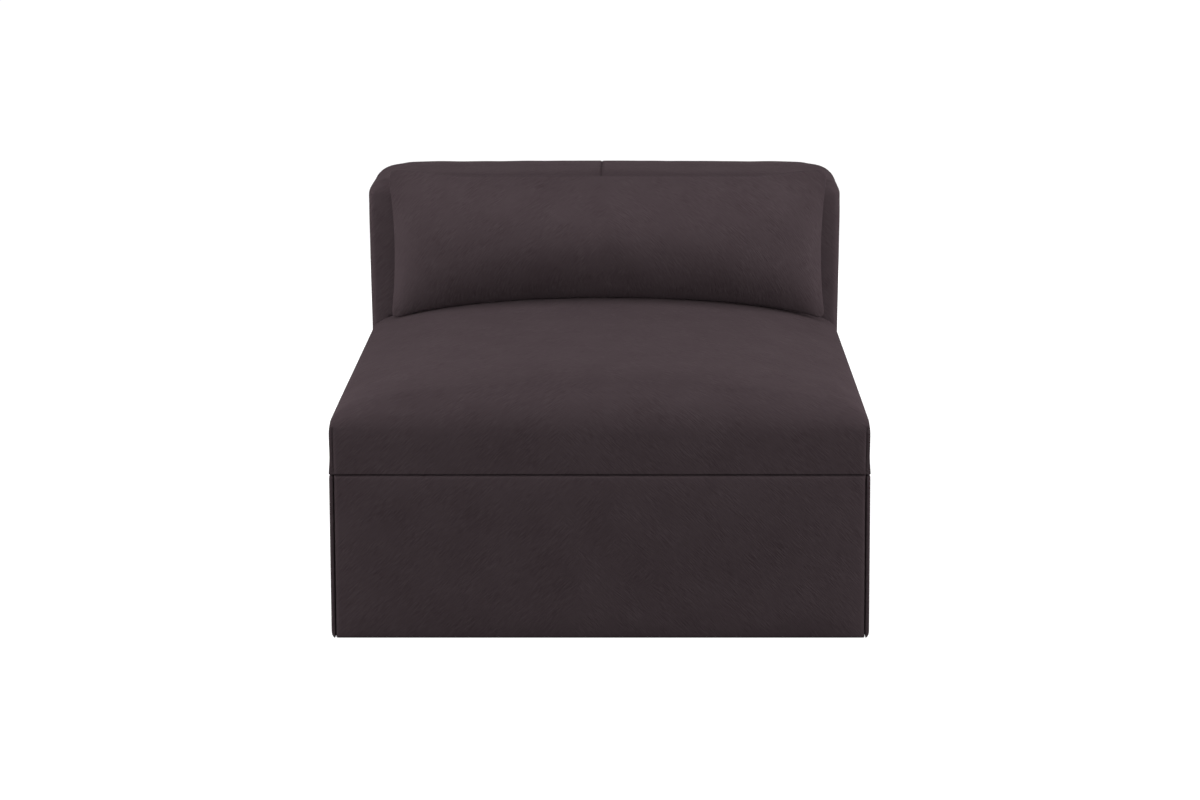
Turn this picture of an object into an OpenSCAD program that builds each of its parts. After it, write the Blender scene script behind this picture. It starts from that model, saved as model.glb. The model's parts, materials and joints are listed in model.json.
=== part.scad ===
// Armless recliner: a full-width crowned seat on a low box base, a thick back block that leans
// away on two low hinge pins, a loose-look lumbar pillow and a footrest that folds flush into the
// front of the base. Millimetres. +Z is up, the seat faces -Y and the origin is on the floor under
// the middle of the chair.

/* [Overall] */
// Width over the side panels
body_w = 1000; // [900:10:1100]
// Depth of the seat, from its front face to the back block
seat_d = 785; // [765:5:840]
// Thickness of the back block, front to rear
block_t = 280; // [260:5:320]
// Height of the top of the back block
block_top_z = 730; // [700:5:800]
// Height of the seam between seat and base
split_z = 320; // [316:2:340]
// Gap between the base and the floor, which the glides fill
floor_gap = 5; // [4:1:8]

/* [Base] */
// Thickness of an upholstered side panel
panel_t = 12; // [9:1:15]
// Width of a wooden runner
runner_w = 44; // [36:2:46]
// Height of the runners and of the rails between them
runner_h = 34; // [28:1:36]
// Width of a wooden rail across the base
cross_rail_w = 40; // [30:2:44]
// Gap between the side panels and the back block
reveal = 6; // [5:1:10]
// Distance from the back block's rear face to the end of the base
plinth_setback = 112; // [100:2:140]
// Thickness of the rear board
board_t = 18; // [12:1:20]
// Diameter of a floor glide
glide_d = 30; // [24:2:36]
// Distance of the glides from the ends of the runners
glide_inset = 45; // [30:5:60]

/* [Seat] */
// Height of the seat's front edge above the seam
seat_side_h = 68; // [62:2:80]
// How much higher the side edge is at the rear
seat_side_rise = 16; // [8:2:24]
// Rise of the crown above the side edge
crown_h = 83; // [60:1:90]
// Distance over which the front rolls over
front_roll = 260; // [200:10:320]
// How far the upright sides are drawn in at mid height
side_draw = 3; // [1:1:5]
// Foam in front of the frame and at the sides
seat_foam_t = 32; // [28:1:36]
// Thickness of a seat frame rail
rail_t = 25; // [20:1:30]
// Height of a seat frame rail
rail_h = 58; // [50:2:60]
// Width of an elastic strap
strap_w = 60; // [40:5:70]
// Thickness of an elastic strap
strap_t = 1.5; // [1:0.5:2]
// Thickness of the felt deck over the straps
deck_t = 3; // [2:1:4]
// Length of the tongue behind the seat
tongue_l = 115; // [100:5:120]
// Height of the tongue at the seat above the seam
tongue_h = 105; // [95:1:107]
// How far the tongue's top falls towards its tip
tongue_fall = 25; // [20:1:40]
// Height of the tongue's underside above the seam
tongue_lift = 20; // [12:1:26]

/* [Footrest] */
// Thickness of the footrest board
foot_board_t = 15; // [12:1:18]
// Thickness of the footrest pad at its edge
foot_pad_t = 34; // [28:1:38]
// Crown of the footrest pad
foot_crown = 4; // [2:1:6]
// Slit round the folded footrest
foot_slit = 2.5; // [2:0.5:4]
// Height of the panel's lower edge above the floor
foot_lift = 16; // [15:1:20]
// Height above the seam of the centre that the panel turns about
swing_rise = 102; // [98:1:110]
// Distance of that centre in front of the seat
swing_ahead = 1.5; // [0:0.5:6]

/* [Linkage] */
// Thickness of a link
link_t = 4; // [3:0.5:5]
// Width of a link
link_w = 28; // [24:1:30]
// Side gap between neighbouring links
link_gap = 1; // [0.6:0.1:1.5]
// Distance of the drive shaft behind the seat's front face
drive_back = 232; // [225:1:245]
// Distance of the drive shaft below the seam
drive_drop = 30; // [28:1:36]
// How far the drive link's first pivot lies behind its shaft when folded
drive_reach = 79; // [74:1:84]
// How far that pivot hangs below the shaft when folded
drive_hang = 172; // [166:1:174]
// Length of the drive link past its first pivot
stay_arm = 66; // [60:1:68]
// Distance between the drive and guide links
guide_offset = 70; // [64:1:74]
// Diameter of a link pin
pin_d = 8; // [6:1:9]
// Diameter of a pin's head
pin_head_d = 15; // [12:1:16]
// Thickness of a pin's head
pin_head_t = 2.2; // [1.6:0.1:2.4]
// Diameter of the drive shaft's tube
shaft_d = 25; // [22:1:28]
// Diameter of the drive shaft's journals
journal_d = 12; // [10:1:13]

/* [Mechanism] */
// Distance of a side plate's inner face from the outside of the chair
mech_inset = 62; // [62:1:64]
// Thickness of a side plate
plate_t = 4; // [3:0.5:5]
// Gap between a side plate and the links
plate_gap = 5; // [4:0.5:6]
// Width of the plates' flanges
flange_w = 24; // [18:1:26]
// Side of a square cross tube
tube_w = 25; // [20:1:28]
// Diameter of a bolt
bolt_d = 6; // [5:1:8]
// Distance across a bolt's head
bolt_head_d = 12; // [10:1:14]
// Thickness of a bolt's head
bolt_head_t = 4; // [3:0.5:5]

/* [Back] */
// Radius of the block's rear upright corners, in plan
rear_r = 110; // [60:5:120]
// Radius of the block's front upright corners, in plan
front_r = 20; // [19:1:28]
// Radius of the block's top edges
top_r = 18; // [8:1:18]
// Rise of the block's top at its middle
top_crown = 3; // [1:1:6]
// Height of the block's underside
block_z = 140; // [136:1:150]
// Thickness of the block's sides
cheek_t = 38; // [32:1:39]
// Thickness of the padding in front of the frame
front_pad_t = 40; // [34:1:44]
// Thickness of the padding behind the frame
rear_pad_t = 30; // [24:1:36]
// Thickness of the padding over the frame
top_pad_t = 40; // [30:1:50]
// Height of the front padding's lower edge above the seam
pad_edge = 115; // [112:1:116]
// Height of the hinge pins
hinge_z = 160; // [156:1:166]
// Distance of the hinge pins behind the block's front face
hinge_back = 30; // [26:1:34]
// Diameter of a hinge pin
hinge_d = 12; // [10:1:14]
// Thickness of a hinge bracket
bracket_t = 5; // [4:0.5:6]
// Thickness of a back post
post_t = 25; // [18:1:28]

/* [Pillow] */
// Width of the pillow over its corners
pillow_w = 920; // [800:10:940]
// Height of the pillow's corners above the floor
pillow_top_z = 764; // [740:2:780]
// Air between the pillow's lower edge and the seat
pillow_air = 3; // [3:1:10]
// How far the top edge dips at its middle
pillow_dip = 10; // [4:1:16]
// How far the sides are drawn in
pillow_draw = 14; // [6:1:20]
// Bulge in front of the edge seam
pillow_front_t = 86; // [60:2:100]
// Bulge behind the edge seam
pillow_rear_t = 62; // [40:2:70]

/* [Recline drive] */
// Height of the actuator's rod above the hinge pins
rod_rise = 90; // [84:1:94]
// Diameter of the rod
rod_d = 20; // [16:1:22]
// Diameter of the actuator's tube
actuator_d = 32; // [28:1:36]
// Diameter of the pin at the rod's end
rod_pin_d = 10; // [8:1:11]

/* [Controls] */
// Length of the switch's bezel
switch_l = 96; // [90:2:110]
// Height of the switch's bezel
switch_h = 34; // [28:1:40]
// Depth of the switch's housing
switch_t = 24; // [16:1:26]
// Diameter of a push button
button_d = 15; // [12:1:16]
// Length of a push button
button_l = 8; // [6:1:9]
// Travel of a push button
button_travel = 1.5; // [1:0.1:2]
// Distance between neighbouring buttons
button_pitch = 22; // [20:1:24]

/* [Hidden] */
$fn = 48;

// Clearances
// Play round a turning or sliding shaft, on the radius
run_fit = 0.06;
// Play round a fixed pin, on the radius
pin_fit = 0.02;
// Play between faces that turn past each other
face_play = 0.3;
// Air between a soft piece and its neighbour
soft_gap = 0.3;
// Air between the seat and the back block
back_gap = 1;
// Air between the seat and the base
seam_gap = 2;
// Air round a moving piece in a cut-out
cut_gap = 2;
// How far a cut runs past the face it opens
overrun = 1;

// Faces and heights
y_front = -(seat_d + block_t) / 2;
y_block = y_front + seat_d;
y_rear = y_block + block_t;
seat_z = split_z + seam_gap;
panel_x = body_w / 2 - panel_t;
runner_x = panel_x - runner_w;
runner_top = floor_gap + runner_h;
base_end_y = y_rear - plinth_setback;
board_y = y_block - reveal - board_t - face_play;

// Layers of steel from the middle outwards
plate_x = body_w / 2 - mech_inset;
arm_x = plate_x - plate_gap - link_t;
long_x = arm_x - link_gap - link_t;
bracket_x = plate_x + plate_t + cut_gap;

// Pivots, as [y, z]
drive_p = [y_front + drive_back, split_z - drive_drop];
drive_v = [drive_reach, -drive_hang];
swing_p = [y_front - swing_ahead, split_z + swing_rise];
long_v = swing_p - drive_p;
guide_v = -guide_offset * long_v / norm(long_v);
stay_v = stay_arm * drive_v / norm(drive_v);
knee_p = drive_p + drive_v;
guide_p = drive_p + guide_v;
guide_knee_p = knee_p + guide_v;
stay_p = knee_p + stay_v;
panel_p = knee_p + long_v;
panel_stay_p = stay_p + long_v;
hinge_p = [y_block + hinge_back, hinge_z];

// Recline drive
recline_angle = 22;
rod_arm = rod_rise / cos(recline_angle / 2);
rod_p = hinge_p + [-rod_arm * sin(recline_angle / 2), rod_rise];
rod_stroke = 2 * rod_arm * sin(recline_angle / 2);
slot_drop = rod_arm - rod_rise;
slot_play = 0.35;
rod_eye_w = 22;
rod_eye_l = 24;
lug_t = 5;
lug_w = 28;
rod_l = 190;
actuator_l = rod_l + rod_stroke + cross_rail_w;
actuator_head = [76, 66, 70];
actuator_motor_d = 42;
actuator_motor_l = 96;
bar_back = 45;
bar_y = rod_p[0] + bar_back;

// Cross tubes, as [y, z] of their middles
tube_front_p = [drive_p[0] - 3 * tube_w, split_z - tube_w];
tube_rear_y = rod_p[0] - actuator_l + actuator_head[1] / 2 - tube_w;
tube_rear_p = [tube_rear_y, rod_p[1] - actuator_head[2] / 2 - tube_w / 2];

// Footrest motor on the drive shaft
motor_box = [84, 76, 58];
motor_can_d = 44;
motor_can_l = 92;

// Small sizes
shaft_wall = 3;
tube_wall = 2.5;
glide_dish = 1;
bush_wall = 2;
bush_flange = 5;
ear_r = 20;
hole_r = 22;
webs = 7;
cross_webs = 3;
back_webs = 5;
bracket_plate_t = 3;
bracket_plate_w = 28;
screw_d = 5;
screw_head_d = 10;
screw_head_t = 2;
cloth_t = 1.5;
post_foot = 10;
board_cut_h = 20;
box_size = [120, 34, 80];
inlet_d = 24;
inlet_body_d = 15;
inlet_bore_d = 6;
inlet_flange_t = 2;
inlet_bore_l = 9;
bezel_sink = 1.6;
button_sink = 0.4;
button_play = 0.25;
button_dish = 0.5;
buttons = 4;

// Seat tops and other shapes of cloth
crown_power = 1.9;
roll_power = 2.2;
seat_cells = 24;
roll_cells = 8;
flat_cells = 4;
side_rings = 3;
pad_cells = 12;
pillow_cells = [26, 16];
pillow_across = 4;
pillow_up = 2.6;
pillow_full = 0.55;
pillow_flat = 1.25;
corner_steps = 10;
edge_steps = 4;

velvet = "#4d3f43";
velvet_light = "#5f5054";
wood = "#c8a877";
steel = "#34373b";
zinc = "#9ea3a8";
black = "#1c1c1e";
felt = "#8d8880";

// A superellipse's height over u from -1 to 1
function dome(u, power) = pow(max(0, 1 - pow(abs(u), power)), 1 / power);

// Steps from lo to hi that crowd towards both ends
function crowded(lo, hi, n) = [for (i = [0:n]) (lo + hi) / 2 - (hi - lo) / 2 * cos(180 * i / n)];

// Steps from lo to hi that crowd towards lo
function crowded_low(lo, hi, n) = [for (i = [0:n]) lo + (hi - lo) * (1 - cos(90 * i / n))];

// Height of the seat's top over the floor
function seat_top(x, y) =
    let (back = (y - y_front) / seat_d,
         roll = min((y - y_front) / front_roll, 1))
    seat_z + seat_side_h + seat_side_rise * back
        + crown_h * dome(2 * x / body_w, crown_power) * dome(1 - roll, roll_power);

// The pieces of both sides
module right_side(side) {
    if (side > 0) children();
    else mirror([1, 0, 0]) children();
}

module both_sides() {
    for (side = [-1, 1]) right_side(side) children();
}

// A flat outline in [y, z], made a plate of thickness t from x
module plate_at(x, t) {
    translate([x, 0, 0]) rotate([90, 0, 90]) linear_extrude(t) children();
}

// A bar with round ends between two points of an outline
module bar2d(p, q, w) {
    translate(p) rotate(atan2(q[1] - p[1], q[0] - p[0])) translate([0, -w / 2]) square([norm(q - p), w]);
    translate(p) circle(d = w);
    translate(q) circle(d = w);
}

// A disc or bar of round section along X, from x to x + l, at p = [y, z]
module along_x(p, x, l, d) {
    translate([x, p[0], p[1]]) rotate([0, 90, 0]) cylinder(h = l, d = d);
}

// A headed pin along X through links from x to x + l
module headed_pin(p, x, l, d, head_d, head_t) {
    along_x(p, x, l, d);
    along_x(p, x - head_t, head_t, head_d);
    along_x(p, x + l, head_t, head_d);
}

// A closed form with an upright side wall, a flat bottom and a top given by a function. The wall
// is drawn in by draw, and by rear_draw behind
module crowned(xs, ys, z, draw, rear_draw, top) {
    nx = len(xs);
    ny = len(ys);
    rim = [
        for (i = [0:nx - 1]) [i, 0],
        for (j = [1:ny - 1]) [nx - 1, j],
        for (i = [nx - 2:-1:0]) [i, ny - 1],
        for (j = [ny - 2:-1:1]) [0, j]
    ];
    n = len(rim);
    roof = [for (x = xs) for (y = ys) [x, y, top(x, y)]];
    walls = [
        for (k = [1:side_rings]) for (q = rim)
            let (x = xs[q[0]], y = ys[q[1]], down = k / side_rings,
                 pull = sin(180 * down),
                 side_x = q[0] == 0 ? draw : q[0] == nx - 1 ? -draw : 0,
                 side_y = q[1] == 0 ? draw : q[1] == ny - 1 ? -rear_draw : 0)
            [x + side_x * pull, y + side_y * pull, top(x, y) + (z - top(x, y)) * down]
    ];
    function at(k, q) =
        let (w = q % n)
        k == 0 ? rim[w][0] * ny + rim[w][1] : nx * ny + (k - 1) * n + w;
    mid = nx * ny + side_rings * n;
    polyhedron(
        points = concat(roof, walls, [[(xs[0] + xs[nx - 1]) / 2, (ys[0] + ys[ny - 1]) / 2, z]]),
        faces = concat(
            [for (i = [0:nx - 2]) for (j = [0:ny - 2]) [i * ny + j, i * ny + j + 1, (i + 1) * ny + j + 1]],
            [for (i = [0:nx - 2]) for (j = [0:ny - 2]) [i * ny + j, (i + 1) * ny + j + 1, (i + 1) * ny + j]],
            [for (k = [0:side_rings - 1]) for (q = [0:n - 1]) [at(k, q), at(k, q + 1), at(k + 1, q + 1)]],
            [for (k = [0:side_rings - 1]) for (q = [0:n - 1]) [at(k, q), at(k + 1, q + 1), at(k + 1, q)]],
            [for (q = [0:n - 1]) [mid, at(side_rings, q), at(side_rings, q + 1)]]
        ),
        convexity = 6
    );
}

// A closed form through rings of points, each anticlockwise from above, lowest first
module stacked(rings, low, high) {
    n = len(rings[0]);
    m = len(rings);
    polyhedron(
        points = concat([for (r = rings) each r], [low, high]),
        faces = concat(
            [for (k = [0:m - 2]) for (i = [0:n - 1])
                [k * n + i, (k + 1) * n + i, (k + 1) * n + (i + 1) % n]],
            [for (k = [0:m - 2]) for (i = [0:n - 1])
                [k * n + i, (k + 1) * n + (i + 1) % n, k * n + (i + 1) % n]],
            [for (i = [0:n - 1]) [m * n, i, (i + 1) % n]],
            [for (i = [0:n - 1]) [m * n + 1, (m - 1) * n + (i + 1) % n, (m - 1) * n + i]]
        ),
        convexity = 6
    );
}

// Base

module base_panel(side) {
    color(velvet)
    right_side(side) difference() {
        translate([panel_x, y_front, floor_gap])
            cube([panel_t, seat_d - reveal, split_z - seam_gap - floor_gap]);
        if (side > 0) translate([panel_x - overrun, switch_y, switch_z])
            cube([panel_t + 2 * overrun, switch_l + 2 * soft_gap, switch_h + 2 * soft_gap]);
    }
}
module base_panel_left() { base_panel(-1); }
module base_panel_right() { base_panel(1); }

runner_y = y_front + foot_board_t + foot_pad_t + foot_crown + cross_rail_w;
runner_l = base_end_y - runner_y;

module base_runner(side) {
    color(wood)
    right_side(side) difference() {
        translate([runner_x, runner_y, floor_gap]) cube([runner_w, runner_l, runner_h]);
        for (p = low_bolts) translate([p[0], p[1], runner_top + plate_t - bolt_l])
            cylinder(h = bolt_l, d = bolt_d + 2 * pin_fit);
    }
}
module base_runner_left() { base_runner(-1); }
module base_runner_right() { base_runner(1); }

module cross_rail(y) {
    color(wood) translate([-runner_x, y, floor_gap]) cube([2 * runner_x, cross_rail_w, runner_h]);
}
module cross_rail_front() { cross_rail(tube_rear_p[0] - cross_rail_w / 2); }
module cross_rail_rear() { cross_rail(board_y + board_t / 2 - cross_rail_w / 2); }
module plinth_rail() { cross_rail(base_end_y - cross_rail_w); }

module rear_board() {
    slot_w = plate_t + 2 * cut_gap;
    color(wood)
    difference() {
        translate([-panel_x, board_y, runner_top])
            cube([2 * panel_x, board_t, split_z - seam_gap - runner_top]);
        both_sides() translate([plate_x - cut_gap, board_y - overrun, runner_top - overrun])
            cube([slot_w, board_t + 2 * overrun, hinge_z + ear_r + board_cut_h - runner_top]);
        translate([0, board_y - overrun, rod_p[1]]) rotate([-90, 0, 0])
            cylinder(h = board_t + 2 * overrun, d = actuator_d + 2 * pin_fit);
        translate([inlet_x, board_y - overrun, inlet_z]) rotate([-90, 0, 0])
            cylinder(h = board_t + 2 * overrun, d = inlet_body_d + 2 * pin_fit);
    }
}

module floor_glides() {
    color(black)
    both_sides() for (y = [runner_y + glide_inset, base_end_y - glide_inset])
        translate([runner_x + runner_w / 2, y, 0]) {
            cylinder(h = glide_dish, d1 = glide_d - 2 * glide_dish, d2 = glide_d);
            translate([0, 0, glide_dish]) cylinder(h = floor_gap - glide_dish, d = glide_d);
        }
}

// Steel frame

plate_front_y = tube_front_p[0] - tube_w;
plate_rear_y = board_y - cut_gap;
plate_foot_y = tube_rear_p[0] - tube_w;

module side_plate(side) {
    color(steel)
    right_side(side) {
        difference() {
            plate_at(plate_x, plate_t) difference() {
                union() {
                    polygon([
                        [plate_front_y, seat_z],
                        [plate_front_y, tube_front_p[1] - tube_w],
                        [guide_p[0], guide_p[1] - tube_w],
                        [plate_foot_y, rod_p[1] / 2],
                        [plate_foot_y, runner_top],
                        [plate_rear_y, runner_top],
                        [plate_rear_y, hinge_z - ear_r],
                        [hinge_p[0], hinge_z - ear_r],
                        [hinge_p[0], hinge_z + ear_r],
                        [plate_rear_y, hinge_z + ear_r],
                        [plate_rear_y, seat_z]
                    ]);
                    translate(hinge_p) circle(r = ear_r);
                }
                translate(drive_p) circle(d = journal_d + 2 * bush_wall + 2 * pin_fit);
                translate(guide_p) circle(d = pin_d + 2 * pin_fit);
                translate(hinge_p) circle(d = hinge_d + 2 * pin_fit);
                for (share = [1 / 3, 2 / 3])
                    translate([plate_foot_y + (plate_rear_y - plate_foot_y) * share, split_z / 3])
                        circle(r = hole_r);
            }
        }
        difference() {
            translate([plate_x + plate_t, plate_front_y, seat_z - plate_t])
                cube([flange_w, plate_rear_y - plate_front_y, plate_t]);
            for (p = top_bolts) translate([p[0], p[1], seat_z - plate_t - overrun])
                cylinder(h = plate_t + 2 * overrun, d = bolt_d + 2 * pin_fit);
        }
        difference() {
            translate([plate_x + plate_t, plate_foot_y, runner_top])
                cube([flange_w, plate_rear_y - plate_foot_y, plate_t]);
            for (p = low_bolts) translate([p[0], p[1], runner_top - overrun])
                cylinder(h = plate_t + 2 * overrun, d = bolt_d + 2 * pin_fit);
        }
    }
}
module side_plate_left() { side_plate(-1); }
module side_plate_right() { side_plate(1); }

bolt_x = plate_x + plate_t + flange_w / 2 + bolt_d / 2;
top_bolts = [
    [bolt_x, plate_front_y + tube_w],
    [bolt_x, (plate_front_y + plate_rear_y) / 2],
    [bolt_x, plate_rear_y - tube_w]
];
low_bolts = [
    [bolt_x, plate_foot_y + tube_w],
    [bolt_x, plate_rear_y - tube_w]
];
bolt_l = 22;

module mechanism_bolts() {
    color(zinc)
    both_sides() {
        for (p = top_bolts) {
            translate([p[0], p[1], seat_z - plate_t]) cylinder(h = bolt_l, d = bolt_d);
            translate([p[0], p[1], seat_z - plate_t - bolt_head_t])
                cylinder(h = bolt_head_t, d = bolt_head_d, $fn = 6);
        }
        for (p = low_bolts) {
            translate([p[0], p[1], runner_top + plate_t - bolt_l]) cylinder(h = bolt_l, d = bolt_d);
            translate([p[0], p[1], runner_top + plate_t])
                cylinder(h = bolt_head_t, d = bolt_head_d, $fn = 6);
        }
    }
}

module cross_tube(p) {
    inner_w = tube_w - 2 * tube_wall;
    color(steel)
    translate([-plate_x, p[0] - tube_w / 2, p[1] - tube_w / 2]) difference() {
        cube([2 * plate_x, tube_w, tube_w]);
        translate([-overrun, tube_wall, tube_wall])
            cube([2 * (plate_x + overrun), inner_w, inner_w]);
    }
}
module cross_tube_front() { cross_tube(tube_front_p); }
module cross_tube_rear() { cross_tube(tube_rear_p); }

module shaft_bushes() {
    color(black)
    both_sides() difference() {
        union() {
            along_x(drive_p, arm_x + link_t + face_play, plate_gap - face_play,
                journal_d + 2 * bush_wall + bush_flange);
            along_x(drive_p, plate_x, plate_t, journal_d + 2 * bush_wall);
        }
        along_x(drive_p, arm_x, mech_inset, journal_d + 2 * run_fit);
    }
}

module guide_pins() {
    color(zinc)
    both_sides() {
        headed_pin(guide_p, arm_x - face_play, plate_x + plate_t - arm_x + face_play, pin_d,
            pin_head_d, pin_head_t);
        along_x(guide_p, arm_x + link_t + face_play, plate_gap - face_play, pin_head_d);
    }
}

module hinge_pins() {
    head_d = 2 * hinge_d - bracket_t;
    grip = bracket_x + bracket_t + face_play - plate_x;
    color(zinc)
    both_sides() {
        headed_pin(hinge_p, plate_x, grip, hinge_d, head_d, bolt_head_t);
        along_x(hinge_p, plate_x + plate_t, cut_gap - face_play, head_d);
    }
}

// Seat

frame_x = body_w / 2 - seat_foam_t;
frame_front_y = y_front + seat_foam_t;
frame_rear_y = y_block - back_gap - seat_foam_t;
rail_top = seat_z + rail_h;
deck_z = rail_top + 2 * strap_t + soft_gap;

module seat_rail_front() {
    color(wood) translate([-frame_x + rail_t, frame_front_y, seat_z])
        cube([2 * (frame_x - rail_t), rail_t, rail_h]);
}
module seat_rail_rear() {
    color(wood) translate([-frame_x + rail_t, frame_rear_y - rail_t, seat_z])
        cube([2 * (frame_x - rail_t), rail_t, rail_h]);
}
module seat_rail(side) {
    color(wood)
    right_side(side) difference() {
        translate([frame_x - rail_t, frame_front_y, seat_z])
            cube([rail_t, frame_rear_y - frame_front_y, rail_h]);
        for (p = top_bolts) translate([p[0], p[1], seat_z - overrun])
            cylinder(h = bolt_l - plate_t + 2 * overrun, d = bolt_d + 2 * pin_fit);
    }
}
module seat_rail_left() { seat_rail(-1); }
module seat_rail_right() { seat_rail(1); }

module seat_webbing() {
    span_x = 2 * frame_x - 2 * rail_t;
    span_y = frame_rear_y - frame_front_y;
    color(black) {
        for (i = [0:webs - 1])
            translate([-span_x / 2 + span_x * (i + 0.5) / webs - strap_w / 2, frame_front_y, rail_top])
                cube([strap_w, span_y, strap_t]);
        for (j = [0:cross_webs - 1])
            translate([-frame_x, frame_front_y + span_y * (j + 1) / (cross_webs + 1) - strap_w / 2,
                       rail_top + strap_t])
                cube([2 * frame_x, strap_w, strap_t]);
    }
}

module seat_deck() {
    color(felt) translate([-frame_x, frame_front_y, deck_z])
        cube([2 * frame_x, frame_rear_y - frame_front_y, deck_t]);
}

module seat_cushion() {
    seat_ys = concat(
        crowded_low(y_front, y_front + front_roll, roll_cells),
        [for (j = [1:flat_cells])
            y_front + front_roll + (seat_d - back_gap - front_roll) * j / flat_cells]
    );
    color(velvet_light)
    difference() {
        crowned(crowded(-body_w / 2, body_w / 2, seat_cells), seat_ys, seat_z, side_draw, 0,
            function (x, y) seat_top(x, y));
        translate([-frame_x - soft_gap, frame_front_y - soft_gap, seat_z - overrun])
            cube([2 * (frame_x + soft_gap), frame_rear_y - frame_front_y + 2 * soft_gap,
                  deck_z + deck_t + soft_gap - seat_z + overrun]);
    }
}

tongue_x = body_w / 2 - cheek_t - 4 * cut_gap;

module seat_tongue() {
    color(velvet)
    plate_at(-tongue_x, 2 * tongue_x) polygon([
        [y_block - back_gap + soft_gap, split_z + tongue_lift],
        [y_block + tongue_l, split_z + tongue_lift],
        [y_block + tongue_l, split_z + tongue_h - tongue_fall],
        [y_block - back_gap + soft_gap, split_z + tongue_h]
    ]);
}

// Footrest drive and linkage

module footrest_motor() {
    can_y = drive_p[0] + shaft_d / 2 + motor_can_d / 2 + 2 * cut_gap;
    box_y = drive_p[0] - motor_box[1] / 2 + tube_w / 4;
    arm_y = tube_front_p[0] + tube_w / 2;
    color(black)
    difference() {
        union() {
            translate([-motor_box[0] / 2, box_y, split_z - motor_box[2]])
                cube(motor_box);
            along_x([can_y, split_z - motor_can_d / 2 - cut_gap], motor_box[0] / 2, motor_can_l,
                motor_can_d);
            translate([-motor_box[0] / 4, arm_y, tube_front_p[1] - tube_w / 2])
                cube([motor_box[0] / 2, box_y - arm_y, tube_w]);
        }
        along_x(drive_p, -body_w / 2, body_w, shaft_d + 2 * run_fit);
    }
}

module drive_shaft() {
    color(zinc) {
        difference() {
            along_x(drive_p, -arm_x, 2 * arm_x, shaft_d);
            along_x(drive_p, -arm_x + journal_d, 2 * (arm_x - journal_d), shaft_d - 2 * shaft_wall);
        }
        both_sides() {
            along_x(drive_p, arm_x, plate_x + plate_t + face_play - arm_x, journal_d);
            along_x(drive_p, plate_x + plate_t + face_play, pin_head_t, pin_head_d);
        }
    }
}

module drive_link(side) {
    color(steel)
    right_side(side) plate_at(arm_x, link_t) difference() {
        bar2d(drive_p, stay_p, link_w);
        translate(drive_p) circle(d = journal_d + 2 * pin_fit);
        for (p = [knee_p, stay_p]) translate(p) circle(d = pin_d + 2 * run_fit);
    }
}
module drive_link_left() { drive_link(-1); }
module drive_link_right() { drive_link(1); }

module guide_links() {
    color(steel)
    both_sides() plate_at(arm_x, link_t) difference() {
        bar2d(guide_p, guide_knee_p, link_w);
        for (p = [guide_p, guide_knee_p]) translate(p) circle(d = pin_d + 2 * run_fit);
    }
}

module long_links() {
    color(steel)
    both_sides() plate_at(long_x, link_t) difference() {
        bar2d(guide_knee_p, panel_p, link_w);
        for (p = [guide_knee_p, knee_p, panel_p]) translate(p) circle(d = pin_d + 2 * pin_fit);
    }
}

// A link pin through a long or stay link and the piece beside it
module link_pin(p) {
    headed_pin(p, long_x, 2 * link_t + link_gap + face_play, pin_d, pin_head_d, pin_head_t);
}

module long_link_pins() {
    color(zinc) both_sides() for (p = [guide_knee_p, knee_p, panel_p]) link_pin(p);
}

module stay_links() {
    color(steel)
    both_sides() plate_at(long_x, link_t) difference() {
        bar2d(stay_p, panel_stay_p, link_w);
        for (p = [stay_p, panel_stay_p]) translate(p) circle(d = pin_d + 2 * pin_fit);
    }
}

module stay_link_pins() {
    color(zinc) both_sides() for (p = [stay_p, panel_stay_p]) link_pin(p);
}

foot_x = panel_x - foot_slit;
foot_top = split_z - 2 * seam_gap - cut_gap;
foot_pad_y = y_front + overrun + foot_crown + foot_pad_t;
foot_rear_y = foot_pad_y + foot_board_t;

module footrest_board() {
    color(wood) translate([-foot_x + soft_gap, foot_pad_y, foot_lift])
        cube([2 * (foot_x - soft_gap), foot_board_t, foot_top - foot_lift]);
}

module footrest_pad() {
    w = foot_x;
    color(velvet)
    translate([0, foot_pad_y - soft_gap, 0]) rotate([90, 0, 0])
        crowned(crowded(-w, w, pad_cells), crowded(foot_lift, foot_top, pad_cells / 2), 0, overrun,
            overrun, function (x, y) foot_pad_t - soft_gap + foot_crown * dome(x / w, roll_power)
                * dome((2 * y - foot_lift - foot_top) / (foot_top - foot_lift), roll_power));
}

module footrest_brackets() {
    low = panel_stay_p[1] - link_w / 2;
    high = panel_p[1] + link_w / 2;
    color(steel)
    both_sides() {
        plate_at(arm_x, link_t) difference() {
            union() {
                bar2d(panel_p, panel_stay_p, link_w);
                polygon([
                    [foot_rear_y, low],
                    [panel_stay_p[0], low],
                    [panel_p[0], high],
                    [foot_rear_y, high]
                ]);
            }
            for (p = [panel_p, panel_stay_p]) translate(p) circle(d = pin_d + 2 * run_fit);
        }
        difference() {
            translate([arm_x + link_t - bracket_plate_w, foot_rear_y, low])
                cube([bracket_plate_w - link_t, bracket_plate_t, high - low]);
            for (z = [low, high]) translate([screw_x, foot_rear_y - overrun, screw_z(z)])
                rotate([-90, 0, 0])
                cylinder(h = bracket_plate_t + 2 * overrun, d = screw_d + 2 * pin_fit);
        }
    }
}

screw_x = arm_x - screw_head_d;
function screw_z(z) = z < panel_p[1] ? z + screw_head_d : z - screw_head_d;

module footrest_screws() {
    low = panel_stay_p[1] - link_w / 2;
    high = panel_p[1] + link_w / 2;
    color(zinc)
    both_sides() for (z = [low, high]) translate([screw_x, foot_rear_y, screw_z(z)]) rotate([-90, 0, 0]) {
        cylinder(h = bracket_plate_t, d = screw_d);
        translate([0, 0, bracket_plate_t]) cylinder(h = screw_head_t, d = screw_head_d);
    }
}

// Recline drive

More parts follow.
